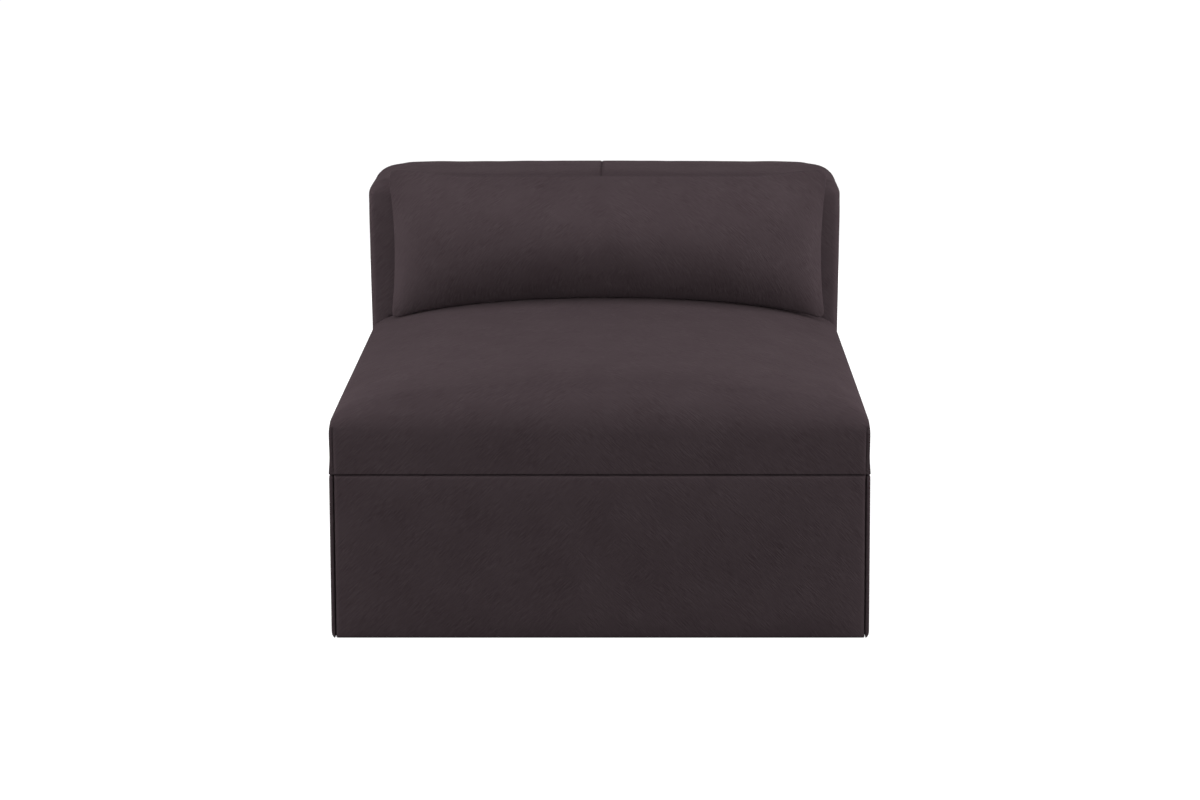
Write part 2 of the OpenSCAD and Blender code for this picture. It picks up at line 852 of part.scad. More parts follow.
module recline_actuator() {
    tube_y = rod_p[0] - rod_eye_l - rod_l;
    end_y = board_y + board_t;
    head_y = rod_p[0] - actuator_l;
    color(black)
    difference() {
        union() {
            translate([0, head_y, rod_p[1]]) rotate([-90, 0, 0])
                cylinder(h = end_y - head_y, d = actuator_d);
            translate([-actuator_head[0] / 2, head_y, rod_p[1] - actuator_head[2] / 2])
                cube([actuator_head[0] + actuator_motor_d / 2, actuator_head[1], actuator_head[2]]);
            translate([actuator_head[0] / 2, head_y, rod_p[1]]) rotate([-90, 0, 0])
                cylinder(h = actuator_head[1] + actuator_motor_l, d = actuator_motor_d);
        }
        translate([0, tube_y - overrun, rod_p[1]]) rotate([-90, 0, 0])
            cylinder(h = end_y - tube_y + 2 * overrun, d = rod_d + 2 * run_fit);
    }
}

module actuator_rod() {
    color(zinc)
    union() {
        translate([0, rod_p[0] - rod_eye_l / 2 - rod_l, rod_p[1]]) rotate([-90, 0, 0])
            cylinder(h = rod_l + overrun, d = rod_d);
        translate([-rod_eye_w / 2, rod_p[0] - rod_eye_l / 2, rod_p[1] - rod_eye_l / 2])
            cube([rod_eye_w, rod_eye_l, rod_eye_l]);
        along_x(rod_p, -rod_eye_w / 2 - lug_t - cut_gap, rod_eye_w + 2 * (lug_t + cut_gap), rod_pin_d);
    }
}

// Controls

module control_box() {
    color(black)
    translate([plate_x / 2, board_y - box_size[1], runner_top + tube_w]) cube(box_size);
}

inlet_x = -plate_x / 2;
inlet_z = runner_top + 3 * tube_w;

module power_inlet() {
    face_y = board_y + board_t;
    color(black)
    translate([inlet_x, face_y, inlet_z]) rotate([-90, 0, 0]) difference() {
        union() {
            translate([0, 0, -board_t]) cylinder(h = board_t, d = inlet_body_d);
            cylinder(h = inlet_flange_t, d = inlet_d);
        }
        translate([0, 0, inlet_flange_t - inlet_bore_l])
            cylinder(h = inlet_bore_l + overrun, d = inlet_bore_d);
    }
}

switch_y = y_front + 2 * tube_w + switch_l / 2;
switch_z = split_z - seam_gap - 2 * switch_h;
switch_x = body_w / 2 - bezel_sink;
function button_y(i) = switch_y + soft_gap + switch_l / 2 + (i - (buttons + 1) / 2) * button_pitch;
button_z = switch_z + soft_gap + switch_h / 2;
button_x = body_w / 2 - button_sink - button_l;

module switch_housing() {
    color(black)
    difference() {
        translate([switch_x - switch_t, switch_y + soft_gap, switch_z + soft_gap])
            cube([switch_t, switch_l, switch_h]);
        for (i = [1:buttons]) along_x([button_y(i), button_z], button_x - 2 * button_travel, switch_t,
            button_d + 2 * button_play);
    }
}

module push_button(i) {
    color(zinc)
    difference() {
        along_x([button_y(i), button_z], button_x, button_l, button_d);
        along_x([button_y(i), button_z], button_x + button_l - button_dish, button_l, button_d * 2 / 3);
    }
}
module button_1() { push_button(1); }
module button_2() { push_button(2); }
module button_3() { push_button(3); }
module button_4() { push_button(4); }

// Back

pad_edge_z = split_z + pad_edge;
post_x = bracket_x - post_t;
post_front_y = y_block + front_pad_t + strap_t + soft_gap;
post_low_y = y_block + tongue_l + 4 * cut_gap + hinge_d / 2;
post_rear_y = y_rear - rear_pad_t - soft_gap;
post_low_z = block_z + post_foot;
post_top_z = block_top_z - top_pad_t - soft_gap;
post_step_z = pad_edge_z + soft_gap;

module back_post(side) {
    color(wood)
    right_side(side) difference() {
        plate_at(post_x, post_t) polygon([
            [post_low_y, post_low_z],
            [post_rear_y, post_low_z],
            [post_rear_y, post_top_z],
            [post_front_y, post_top_z],
            [post_front_y, post_step_z],
            [post_low_y, post_step_z]
        ]);
        for (p = back_bolt_ps) along_x(p, post_x - overrun, post_t + 2 * overrun, bolt_d + 2 * pin_fit);
    }
}
module back_post_left() { back_post(-1); }
module back_post_right() { back_post(1); }

module back_rail(y, z, h) {
    color(wood) translate([-post_x, y, z]) cube([2 * post_x, post_t, h]);
}
module back_top_rail() { back_rail(post_front_y, post_top_z - post_t, post_t); }
module back_middle_rail() { back_rail(post_front_y, post_step_z, 2 * post_t); }
module back_bottom_rail() { back_rail(post_low_y, post_low_z, 2 * post_t); }

module back_webbing() {
    span = 2 * post_x;
    color(black)
    for (i = [0:back_webs - 1])
        translate([-post_x + span * (i + 0.5) / back_webs - strap_w / 2, post_front_y - strap_t,
                   post_step_z + overrun])
            cube([strap_w, strap_t, post_top_z - post_step_z - 2 * overrun]);
}

module back_lower_cloth() {
    color(black)
    translate([-post_x, post_low_y - cloth_t, post_low_z])
        cube([2 * post_x, cloth_t, pad_edge_z - post_low_z]);
}

bracket_low_z = hinge_z + 2 * ear_r;
bracket_high_z = split_z + seam_gap;
back_bolt_ps = [
    [post_low_y + 2 * bolt_head_d, bracket_low_z + bolt_head_d],
    [post_low_y + 2 * bolt_head_d, bracket_high_z - bolt_head_d]
];

module back_bracket(side) {
    bar_p = [bar_y, rod_p[1]];
    color(steel)
    right_side(side) plate_at(bracket_x, bracket_t) difference() {
        union() {
            bar2d(hinge_p, bar_p, 2 * ear_r - bracket_t);
            bar2d(bar_p, [post_low_y + bolt_head_d, bar_p[1]], 2 * ear_r - bracket_t);
            translate([post_low_y, bracket_low_z])
                square([3 * bolt_head_d, bracket_high_z - bracket_low_z]);
        }
        translate(hinge_p) circle(d = hinge_d + 2 * run_fit);
        for (p = back_bolt_ps) translate(p) circle(d = bolt_d + 2 * pin_fit);
    }
}
module back_bracket_left() { back_bracket(-1); }
module back_bracket_right() { back_bracket(1); }

module back_cross_bar() {
    lug_x = rod_eye_w / 2 + face_play;
    color(steel)
    union() {
        translate([-bracket_x, bar_y - tube_w / 2, rod_p[1] - tube_w / 2])
            cube([2 * bracket_x, tube_w, tube_w]);
        for (x = [lug_x, -lug_x - lug_t]) plate_at(x, lug_t) difference() {
            bar2d(rod_p, [bar_y, rod_p[1]], lug_w);
            bar2d(rod_p + [0, slot_play], rod_p - [0, slot_drop + slot_play], rod_pin_d + 2 * slot_play);
        }
    }
}

module back_bolts() {
    color(zinc)
    both_sides() for (p = back_bolt_ps) {
        along_x(p, post_x, post_t + bracket_t, bolt_d);
        along_x(p, bracket_x + bracket_t, bolt_head_t, bolt_head_d);
        along_x(p, post_x - bolt_head_t, bolt_head_t, bolt_head_d);
    }
}

// The block's outline in plan, drawn in by d
function block_ring(d, z) = [
    for (c = [
        [-body_w / 2 + front_r, y_block + front_r, front_r, 180],
        [body_w / 2 - front_r, y_block + front_r, front_r, 270],
        [body_w / 2 - rear_r, y_rear - rear_r, rear_r, 0],
        [-body_w / 2 + rear_r, y_rear - rear_r, rear_r, 90]
    ])
        for (i = [0:corner_steps])
            let (a = c[3] + 90 * i / corner_steps)
            [c[0] + (c[2] - d) * cos(a), c[1] + (c[2] - d) * sin(a), z]
];

module back_cover() {
    rim_z = block_top_z - top_crown;
    color(velvet)
    difference() {
        stacked(
            concat(
                [block_ring(0, block_z)],
                [for (i = [0:edge_steps])
                    let (a = 90 * i / edge_steps)
                    block_ring(top_r * (1 - cos(a)), rim_z - top_r * (1 - sin(a)))]
            ),
            [0, (y_block + y_rear) / 2, block_z],
            [0, (y_block + y_rear) / 2, block_top_z]
        );
        translate([-body_w / 2 + cheek_t, y_block + front_pad_t, block_z - overrun])
            cube([body_w - 2 * cheek_t, block_t - front_pad_t - rear_pad_t,
                  block_top_z - top_pad_t - block_z + overrun]);
        translate([-body_w / 2 + cheek_t, y_block - overrun, block_z - overrun])
            cube([body_w - 2 * cheek_t, front_pad_t + 2 * overrun, pad_edge_z - block_z + overrun]);
    }
}

// The pillow's plumpness at u across and v up, each from -1 to 1
function plump(u, v) =
    pow(max(0, (1 - pow(abs(u), pillow_across)) * (1 - pow(abs(v), pillow_up))), pillow_full);

function pillow_point(u, v, bulge) =
    let (low_z = seat_top(u * pillow_w / 2, y_block) + pillow_air,
         top_z = pillow_top_z - pillow_dip * (1 - u * u),
         x = u * (pillow_w / 2 - pillow_draw * (1 - v * v)),
         z = (low_z + top_z) / 2 + v * (top_z - low_z) / 2)
    [x, y_block - soft_gap - pillow_rear_t + bulge, z];

module lumbar_pillow() {
    n = pillow_cells[0];
    m = pillow_cells[1];
    us = [for (i = [0:n]) -cos(180 * i / n)];
    vs = [for (j = [0:m]) -cos(180 * j / m)];
    front = [for (u = us) for (v = vs) pillow_point(u, v, -pillow_front_t * plump(u, v))];
    rear = [for (i = [1:n - 1]) for (j = [1:m - 1])
        pillow_point(us[i], vs[j], pillow_rear_t * min(1, pillow_flat * plump(us[i], vs[j])))];
    function f(i, j) = i * (m + 1) + j;
    function rising(i, j) = (i < n / 2) == (j < m / 2);
    function r(i, j) = i == 0 || i == n || j == 0 || j == m ? f(i, j)
        : (n + 1) * (m + 1) + (i - 1) * (m - 1) + j - 1;
    color(velvet_light)
    polyhedron(
        points = concat(front, rear),
        faces = concat(
            [for (i = [0:n - 1]) for (j = [0:m - 1])
                [f(i, j), f(i, j + 1), rising(i, j) ? f(i + 1, j + 1) : f(i + 1, j)]],
            [for (i = [0:n - 1]) for (j = [0:m - 1])
                [f(i + 1, j + 1), f(i + 1, j), rising(i, j) ? f(i, j) : f(i, j + 1)]],
            [for (i = [0:n - 1]) for (j = [0:m - 1])
                [r(i, j + 1), r(i, j), rising(i, j) ? r(i + 1, j + 1) : r(i + 1, j)]],
            [for (i = [0:n - 1]) for (j = [0:m - 1])
                [r(i + 1, j), r(i + 1, j + 1), rising(i, j) ? r(i, j) : r(i, j + 1)]]
        ),
        convexity = 4
    );
}

base_panel_left();
base_panel_right();
base_runner_left();
base_runner_right();
cross_rail_front();
cross_rail_rear();
plinth_rail();
rear_board();
floor_glides();
side_plate_left();
side_plate_right();
cross_tube_front();
cross_tube_rear();
shaft_bushes();
guide_pins();
hinge_pins();
mechanism_bolts();
seat_rail_front();
seat_rail_rear();
seat_rail_left();
seat_rail_right();
seat_webbing();
seat_deck();
seat_cushion();
seat_tongue();
footrest_motor();
recline_actuator();
actuator_rod();
control_box();
power_inlet();
switch_housing();
button_1();
button_2();
button_3();
button_4();
drive_link_left();
drive_link_right();
drive_shaft();
guide_links();
long_links();
long_link_pins();
stay_links();
stay_link_pins();
footrest_board();
footrest_pad();
footrest_brackets();
footrest_screws();
back_post_left();
back_post_right();
back_top_rail();
back_middle_rail();
back_bottom_rail();
back_webbing();
back_lower_cloth();
back_bracket_left();
back_bracket_right();
back_cross_bar();
back_bolts();
back_cover();
lumbar_pillow();
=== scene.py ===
import json
import math

import bmesh
import bpy
import numpy as np
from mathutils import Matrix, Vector, noise


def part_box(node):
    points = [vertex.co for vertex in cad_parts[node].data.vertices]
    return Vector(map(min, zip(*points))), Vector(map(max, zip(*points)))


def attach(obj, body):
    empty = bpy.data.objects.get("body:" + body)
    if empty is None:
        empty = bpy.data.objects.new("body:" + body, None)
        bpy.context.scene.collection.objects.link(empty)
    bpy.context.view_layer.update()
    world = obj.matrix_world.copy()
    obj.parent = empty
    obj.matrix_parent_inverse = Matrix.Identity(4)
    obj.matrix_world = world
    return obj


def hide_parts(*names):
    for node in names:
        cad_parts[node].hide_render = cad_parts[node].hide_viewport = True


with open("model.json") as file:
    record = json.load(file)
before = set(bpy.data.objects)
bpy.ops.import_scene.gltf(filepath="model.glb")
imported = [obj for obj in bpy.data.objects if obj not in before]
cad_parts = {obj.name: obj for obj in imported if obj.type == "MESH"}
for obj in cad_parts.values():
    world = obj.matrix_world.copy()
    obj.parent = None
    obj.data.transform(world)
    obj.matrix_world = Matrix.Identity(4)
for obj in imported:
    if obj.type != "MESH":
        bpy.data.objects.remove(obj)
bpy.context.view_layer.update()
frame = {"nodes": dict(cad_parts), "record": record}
nodes = frame["nodes"]
MM = 0.001
TINY = MM / 100

# Sizes read off the frame
seat_low, seat_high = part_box("seat_cushion")
block_low, block_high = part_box("back_cover")
pillow_low, pillow_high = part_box("lumbar_pillow")
foot_low, foot_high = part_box("footrest_pad")
panel_low, panel_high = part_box("base_panel_right")
tongue_low, tongue_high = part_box("seat_tongue")
switch_low, switch_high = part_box("switch_housing")

HALF_W = seat_high.x
SEAT_DEPTH = block_low.y - seat_low.y
PANEL_T = panel_high.x - panel_low.x

# The seat's crown
SIDE_H = 87 * MM          # lower seam to the side edge
ROLL_H = 62 * MM          # how high the front rolls over, in the middle
ROLL_DEPTH = 64 * MM      # and over what depth
ROLL_BELOW = 0.22         # the share of that height by which it starts lower, on the front
ROLL_ACROSS = 2.6         # how fast it fades towards the sides, at the front
REAR_ACROSS = 2.0         # and at the back
ROLL_NARROWS = 0.75       # how much its depth follows its height towards the sides
SLOPE_H = 16 * MM         # how much the seat still climbs behind the roll
SLOPE_DEPTH = 180 * MM    # and over what depth, from the front
CROWN_RISE = 5 * MM       # and how much more from there to the back
SLOPE_ACROSS = 1.95       # how fast both fade towards the sides

# Seams and edges
CORNER_SEAM = 9.2 * MM    # seat corner seams, in from the side
MIDDLE_SEAM = -8 * MM     # the seam over the middle of the back block
SEAM_HALF = 1.6 * MM      # half the width of a sewn valley
SEAM_DEPTH = 3.0 * MM
BASE_LOW = 0.3 * MM       # the base's covers reach down to here
BASE_TOP = seat_low.z - 1.4 * MM  # and up to here
EDGE_SHOWS = 7.7 * MM     # how much of a side panel shows beside the footrest
PANEL_FLARE = 5.5 * MM    # how far the side panels stand out at the floor
TONGUE_FALL = 25 * MM     # how much lower the tongue is at its tip
PILLOW_SHIFT = 8 * MM     # the pillow stands a little to the right


# Modelling helpers


def dome(u, power):
    """Height of a superellipse over u from -1 to 1."""
    return max(0.0, 1 - abs(u) ** power) ** (1 / power)


def roll_depth(x):
    """How deep the seat's front roll is."""
    return ROLL_DEPTH * dome(x / HALF_W, ROLL_ACROSS) ** ROLL_NARROWS + MM


def seat_top(x, y):
    """Height of the seat's top over the floor."""
    deep = y - seat_low.y
    back = min(max(deep, 0.0) / SEAT_DEPTH, 1.0)
    roll = dome(1 - min(deep / roll_depth(x), 1), 2)
    roll = max(0.0, (1 + ROLL_BELOW) * roll - ROLL_BELOW)
    slope = 1 - (1 - min(deep / SLOPE_DEPTH, 1)) ** 2
    return (seat_low.z + SIDE_H
            + ROLL_H * roll * dome(x / HALF_W, ROLL_ACROSS + (REAR_ACROSS - ROLL_ACROSS) * back)
            + (SLOPE_H * slope + CROWN_RISE * back) * dome(x / HALF_W, SLOPE_ACROSS))


def front_in(x, z):
    """How far the seat's front has leant in at a height, where the roll starts."""
    high = ROLL_H * dome(x / HALF_W, ROLL_ACROSS) + TINY
    share = (z - seat_low.z - SIDE_H + ROLL_BELOW * high) / (high * (1 + ROLL_BELOW))
    return roll_depth(x) * (1 - dome(min(max(share, 0.0), 1.0), 2))


def lines(low, high, count, crowd=0.0, marks=(), half=SEAM_HALF):
    """Places of grid lines from low to high, crowded towards both ends, with three close lines
    at each mark and none of the others next to them."""
    mid, reach = (low + high) / 2, (high - low) / 2
    found = []
    for i in range(count + 1):
        t = 2 * i / count - 1
        found.append(mid + reach * ((1 - crowd) * t + crowd * math.sin(t * math.pi / 2)))
    close = sorted(m + side * half for m in marks for side in (-1, 0, 1))
    kept = [p for p in found[1:-1] if all(abs(p - c) > 1.3 * half for c in close)]
    return sorted([low, high] + kept + close)


def grid_block(xs, ys, zs):
    """A closed block of quads whose grid lines lie at the given places."""
    bm = bmesh.new()
    bmesh.ops.create_cube(bm, size=2)
    axes = (xs, ys, zs)
    for axis, places in enumerate(axes):
        along = [e for e in bm.edges if abs(e.verts[0].co[axis] - e.verts[1].co[axis]) > 1]
        if len(places) > 2:
            bmesh.ops.subdivide_edges(bm, edges=along, cuts=len(places) - 2)
    for v in bm.verts:
        for axis, places in enumerate(axes):
            v.co[axis] = places[round((v.co[axis] + 1) / 2 * (len(places) - 1))]
    return bm


def round_block(p, low, high, front_r, rear_r, top_r, low_r=0.0):
    """Where a point of a sharp block lies once its upright corners and its rims are rounded. The
    upright corners widen towards the top, so that they turn into round ones there."""
    mid_x, half = (low.x + high.x) / 2, (high.x - low.x) / 2
    side_x = 1 if p.x > mid_x else -1
    side_y = 1 if p.y > (low.y + high.y) / 2 else -1
    r = rear_r if side_y > 0 else front_r
    if top_r > r:
        r += (top_r - r) * max(0.0, 1 - (high.z - p.z) / top_r)
    in_x = half - abs(p.x - mid_x)
    in_y = high.y - p.y if side_y > 0 else p.y - low.y
    out, deep = p.copy(), min(in_x, in_y)
    if in_x < r and in_y < r:
        away = Vector((side_x * (r - in_x), side_y * (r - in_y), 0)).normalized()
        core = Vector((mid_x + side_x * (half - r), high.y - r if side_y > 0 else low.y + r, p.z))
        out = core + away * (r - deep)
    else:
        away = Vector((side_x, 0, 0)) if in_x < in_y else Vector((0, side_y, 0))
    for rim_r, gap, up in ((top_r, high.z - p.z, 1), (low_r, p.z - low.z, -1)):
        share = None
        if rim_r and deep < TINY and gap < rim_r:
            share = 0.5 * (1 - gap / rim_r)
        elif rim_r and gap < TINY and deep < rim_r:
            share = 0.5 * (1 + deep / rim_r)
        if share is not None:
            angle = share * math.pi / 2
            out -= away * (rim_r * (1 - math.cos(angle)) - deep)
            out.z = (high.z if up > 0 else low.z) - up * rim_r * (1 - math.sin(angle))
    return out


def finish_mesh(bm, name, smooth=True):
    """Makes the mesh an object at the origin, with every face outwards."""
    bmesh.ops.recalc_face_normals(bm, faces=bm.faces)
    mesh = bpy.data.meshes.new(name)
    bm.to_mesh(mesh)
    bm.free()
    mesh.polygons.foreach_set("use_smooth", [smooth] * len(mesh.polygons))
    piece = bpy.data.objects.new(name, mesh)
    bpy.context.scene.collection.objects.link(piece)
    return piece


def places_of(piece):
    """Where the piece's vertices are, a row each."""
    found = np.empty(len(piece.data.vertices) * 3)
    piece.data.vertices.foreach_get("co", found)
    return found.reshape(-1, 3)


def set_places(piece, found):
    """Moves the piece's vertices."""
    piece.data.vertices.foreach_set("co", np.asarray(found, float).ravel())
    piece.data.update()


def normals_of(piece):
    """Which way the piece's vertices face, a row each."""
    found = np.empty(len(piece.data.vertices) * 3)
    piece.data.vertices.foreach_get("normal", found)
    return found.reshape(-1, 3)


def swell(covers, frames=24, pressure=4.5, even_rounds=8):
    """Blows up each (piece, held vertices, give) as cloth. give is how far each vertex may move,
    and the held ones stay where they are."""
    scene = bpy.context.scene
    for piece, held, give in covers:
        group = piece.vertex_groups.new(name="held")
        group.add([int(i) for i in held], 1.0, "REPLACE")
        cloth = piece.modifiers.new("Cloth", "CLOTH")
        settings = cloth.settings
        settings.vertex_group_mass = "held"
        settings.use_pressure = True
        settings.uniform_pressure_force = pressure
        settings.effector_weights.gravity = 0
        settings.shrink_min = -0.01
        cloth.collision_settings.use_collision = False
        cloth.point_cache.frame_end = frames
    for number in range(1, frames + 1):
        scene.frame_set(number)
    graph = bpy.context.evaluated_depsgraph_get()
    moved = []
    for piece, held, give in covers:
        shown = piece.evaluated_get(graph)
        moved.append(places_of(shown))
    for (piece, held, give), new in zip(covers, moved):
        piece.modifiers.clear()
        piece.vertex_groups.clear()
        start = places_of(piece)
        step = new - start
        far = np.linalg.norm(step, axis=1)
        step *= (np.minimum(far, give) / np.maximum(far, 1e-9))[:, None]
        # the foam under the cover evens out what is left of the folds
        ends = np.array([list(e.vertices) for e in piece.data.edges])
        count = np.bincount(ends.ravel(), minlength=len(step))[:, None]
        for _ in range(even_rounds):
            around = np.zeros_like(step)
            np.add.at(around, ends[:, 0], step[ends[:, 1]])
            np.add.at(around, ends[:, 1], step[ends[:, 0]])
            step = (step + around / count) / 2
            step[held] = 0
        set_places(piece, start + step)
    scene.frame_set(1)


def carve(piece, seam, depth):
    """Draws the vertices of a seam into the piece, or out of it by a depth below zero."""
    found, out = places_of(piece), normals_of(piece)
    depth = np.broadcast_to(depth, (len(seam),))
    found[seam] -= out[seam] * depth[:, None]
    set_places(piece, found)


# Finishes


def paint(code):
    """An sRGB hex colour as the linear values that a shader takes."""
    found = []
    for i in (1, 3, 5):
        c = int(code[i:i + 2], 16) / 255
        found.append(c / 12.92 if c <= 0.04045 else ((c + 0.055) / 1.055) ** 2.4)
    return (*found, 1.0)


def per_metre(size_mm):
    """The scale of a pattern whose features are size_mm apart."""
    return 1000 / size_mm


def add(tree, kind, sockets=None, out=0, **settings):
    """Adds a node, sets it up, and fills its sockets with values or with other nodes' outputs.
    Gives one of its outputs."""
    made = tree.nodes.new("ShaderNode" + kind)
    for name, value in settings.items():
        setattr(made, name, value)
    for name, value in (sockets or {}).items():
        if isinstance(value, bpy.types.NodeSocket):
            tree.links.new(value, made.inputs[name])
        else:
            made.inputs[name].default_value = value
    return made.outputs[out] if made.outputs else None


def new_finish(name):
    """An empty material, its node tree, and the place on the piece that its patterns follow."""
    made = bpy.data.materials.new(name)
    made.use_nodes = True
    made.node_tree.nodes.clear()
    return made, made.node_tree, add(made.node_tree, "TexCoord", out="Object")


def show(tree, **sockets):
    """Ends a material with its shader."""
    named = {name.replace("_", " "): value for name, value in sockets.items()}
    add(tree, "OutputMaterial", {"Surface": add(tree, "BsdfPrincipled", named)})


def stretched(tree, where, along, sizes_mm, detail=2.0):
    """Noise drawn out along a direction: sizes_mm is its size along it and to both sides."""
    turn = Vector(along).rotation_difference(Vector((1, 0, 0))).to_euler()
    turned = add(tree, "Mapping", {"Vector": where, "Rotation": turn})
    scaled = add(tree, "Mapping", {"Vector": turned, "Scale": [per_metre(s) for s in sizes_mm]})
    return add(tree, "TexNoise", {"Vector": scaled, "Scale": 1.0, "Detail": detail})


def velvet_cover():
    """Polyester velvet, woven with a short brushed pile: dark when looked into, paler where it
    is grazed, clouded where hands have turned the pile, and hatched by slanting brush strokes
    that rise to the middle of the seat from both sides."""
    made, tree, where = new_finish("brushed_velvet")
    clouds = add(tree, "TexNoise", {"Vector": where, "Scale": per_metre(80), "Detail": 4.0})
    patches = add(tree, "TexNoise", {"Vector": where, "Scale": per_metre(38), "Detail": 2.0})
    # Brush strokes about 17 mm long, drawn some 4 mm apart, coarser than they are, so that they
    # show: noise that is short across them and long in both other directions
    rising, falling = [stretched(tree, where, (turn, -1, -1), (1.7, 17, 17), detail=1.0)
                       for turn in (1, -1)]
    across = add(tree, "SeparateXYZ", {"Vector": where})
    wander = add(tree, "Math", {0: clouds, 1: 0.5}, operation="SUBTRACT")
    wandered = add(tree, "Math", {0: wander, 1: 0.6, 2: across}, operation="MULTIPLY_ADD")
    half = add(tree, "MapRange", {0: wandered, 1: -0.04, 2: 0.04})
    rows = add(tree, "Mix", {0: half, 2: rising, 3: falling}, data_type="FLOAT")
    # The strokes show where the pile has been turned, and fade in between
    turned_share = add(tree, "MapRange", {0: patches, 1: 0.36, 2: 0.60, 3: 0.5, 4: 1.7})
    middle = add(tree, "Math", {0: rows, 1: 0.5}, operation="SUBTRACT")
    strokes = add(tree, "Math", {0: middle, 1: turned_share, 2: 0.5}, operation="MULTIPLY_ADD")
    cloud_share = add(tree, "MapRange", {0: clouds, 1: 0.10, 2: 0.90})
    share = add(tree, "Mix", {0: 0.62, 2: cloud_share, 3: strokes}, data_type="FLOAT")
    tone = add(tree, "Mix", {0: share, 6: paint("#332a2d"), 7: paint("#463d40")}, out=2,
               data_type="RGBA")
    # Tufts of the pile, drawn 1.4 mm apart
    tufts = add(tree, "TexNoise", {"Vector": where, "Scale": per_metre(1.4), "Detail": 1.0})
    pile = add(tree, "Bump", {"Strength": 0.30, "Distance": 0.4 * MM, "Height": tufts})
    brushed = add(tree, "Bump", {"Strength": 0.32, "Distance": 0.8 * MM, "Height": strokes,
                                 "Normal": pile})
    show(tree, Base_Color=tone, Roughness=0.85, Specular_IOR_Level=0.0, Sheen_Weight=0.10,
         Sheen_Roughness=0.30, Sheen_Tint=paint("#c4aeb4"), Normal=brushed)
    return made


def sawn_pine(axis, stained=False):
    """Sawn pine: straight grain along the piece in pale early and darker late wood, dry and matt,
    with the saw's rough face. Where it may show it is stained a dark brown."""
    early, dense, deep = ("#4b3a2e", "#33261d", "#211811") if stained else (
        "#d2b384", "#a9804f", "#7b5731")
    made, tree, where = new_finish(("stained_pine_" if stained else "sawn_pine_") + "xyz"[axis])
    along = [0.0, 0.0, 0.0]
    along[axis] = 1.0
    growth = stretched(tree, where, along, (520, 34, 34), detail=1.0)
    rings = add(tree, "Math", {0: growth, 1: 11.0}, operation="MULTIPLY")
    ring = add(tree, "Math", {0: rings}, operation="FRACT")
    late = add(tree, "MapRange", {0: ring, 1: 0.25, 2: 1.0})
    pores = stretched(tree, where, along, (50, 1.4, 1.4))
    streak = add(tree, "MapRange", {0: pores, 1: 0.40, 2: 0.70, 4: 0.4})
    wood = add(tree, "Mix", {0: late, 6: paint(early), 7: paint(dense)}, out=2, data_type="RGBA")
    tone = add(tree, "Mix", {0: streak, 6: wood, 7: paint(deep)}, out=2, data_type="RGBA")
    rough = add(tree, "Bump", {"Strength": 0.35, "Distance": 0.4 * MM, "Height": pores})
    show(tree, Base_Color=tone, Roughness=0.74, Specular_IOR_Level=0.35, Normal=rough)
    return made


def powder_coat():
    """Pressed steel under satin black powder coat: a fine orange peel with a film of dust."""
    made, tree, where = new_finish("powder_coated_steel")
    peel = add(tree, "TexNoise", {"Vector": where, "Scale": per_metre(1.8), "Detail": 2.0})
    dust = add(tree, "TexNoise", {"Vector": where, "Scale": per_metre(70), "Detail": 4.0})
    film = add(tree, "MapRange", {0: dust, 1: 0.40, 2: 0.68})
    tone = add(tree, "Mix", {0: film, 6: paint("#232427"), 7: paint("#313235")}, out=2,
               data_type="RGBA")
    gloss = add(tree, "MapRange", {0: dust, 1: 0.30, 2: 0.70, 3: 0.36, 4: 0.52})
    bump = add(tree, "Bump", {"Strength": 0.22, "Distance": 0.15 * MM, "Height": peel})
    show(tree, Base_Color=tone, Roughness=gloss, Coat_Weight=0.12, Normal=bump)
    return made


def zinc_plate():
    """Zinc-plated turned steel: bluish grey metal with turning marks and duller patches."""
    made, tree, where = new_finish("zinc_plated_steel")
    marks = stretched(tree, where, (1, 0, 0), (0.6, 9, 9))
    spots = add(tree, "TexNoise", {"Vector": where, "Scale": per_metre(9), "Detail": 3.0})
    tone = add(tree, "Mix", {0: spots, 6: paint("#a4abb3"), 7: paint("#c8cdd1")}, out=2,
               data_type="RGBA")
    gloss = add(tree, "MapRange", {0: spots, 1: 0.30, 2: 0.70, 3: 0.26, 4: 0.44})
    bump = add(tree, "Bump", {"Strength": 0.15, "Distance": 0.05 * MM, "Height": marks})
    show(tree, Base_Color=tone, Metallic=1.0, Roughness=gloss, Normal=bump)
    return made


def moulded(name, tones, roughness, grain_mm):
    """Moulded plastic with a spark-eroded grain, rubbed a little paler where it is touched."""
    made, tree, where = new_finish(name)
    grain = add(tree, "TexNoise", {"Vector": where, "Scale": per_metre(grain_mm), "Detail": 2.0})
    rubbed = add(tree, "TexNoise", {"Vector": where, "Scale": per_metre(24), "Detail": 3.0})
    wear = add(tree, "MapRange", {0: rubbed, 1: 0.35, 2: 0.65})
    tone = add(tree, "Mix", {0: wear, 6: paint(tones[0]), 7: paint(tones[1])}, out=2,
               data_type="RGBA")
    bump = add(tree, "Bump", {"Strength": 0.25, "Distance": 0.12 * MM, "Height": grain})
    show(tree, Base_Color=tone, Roughness=roughness, IOR=1.52, Normal=bump)
    return made


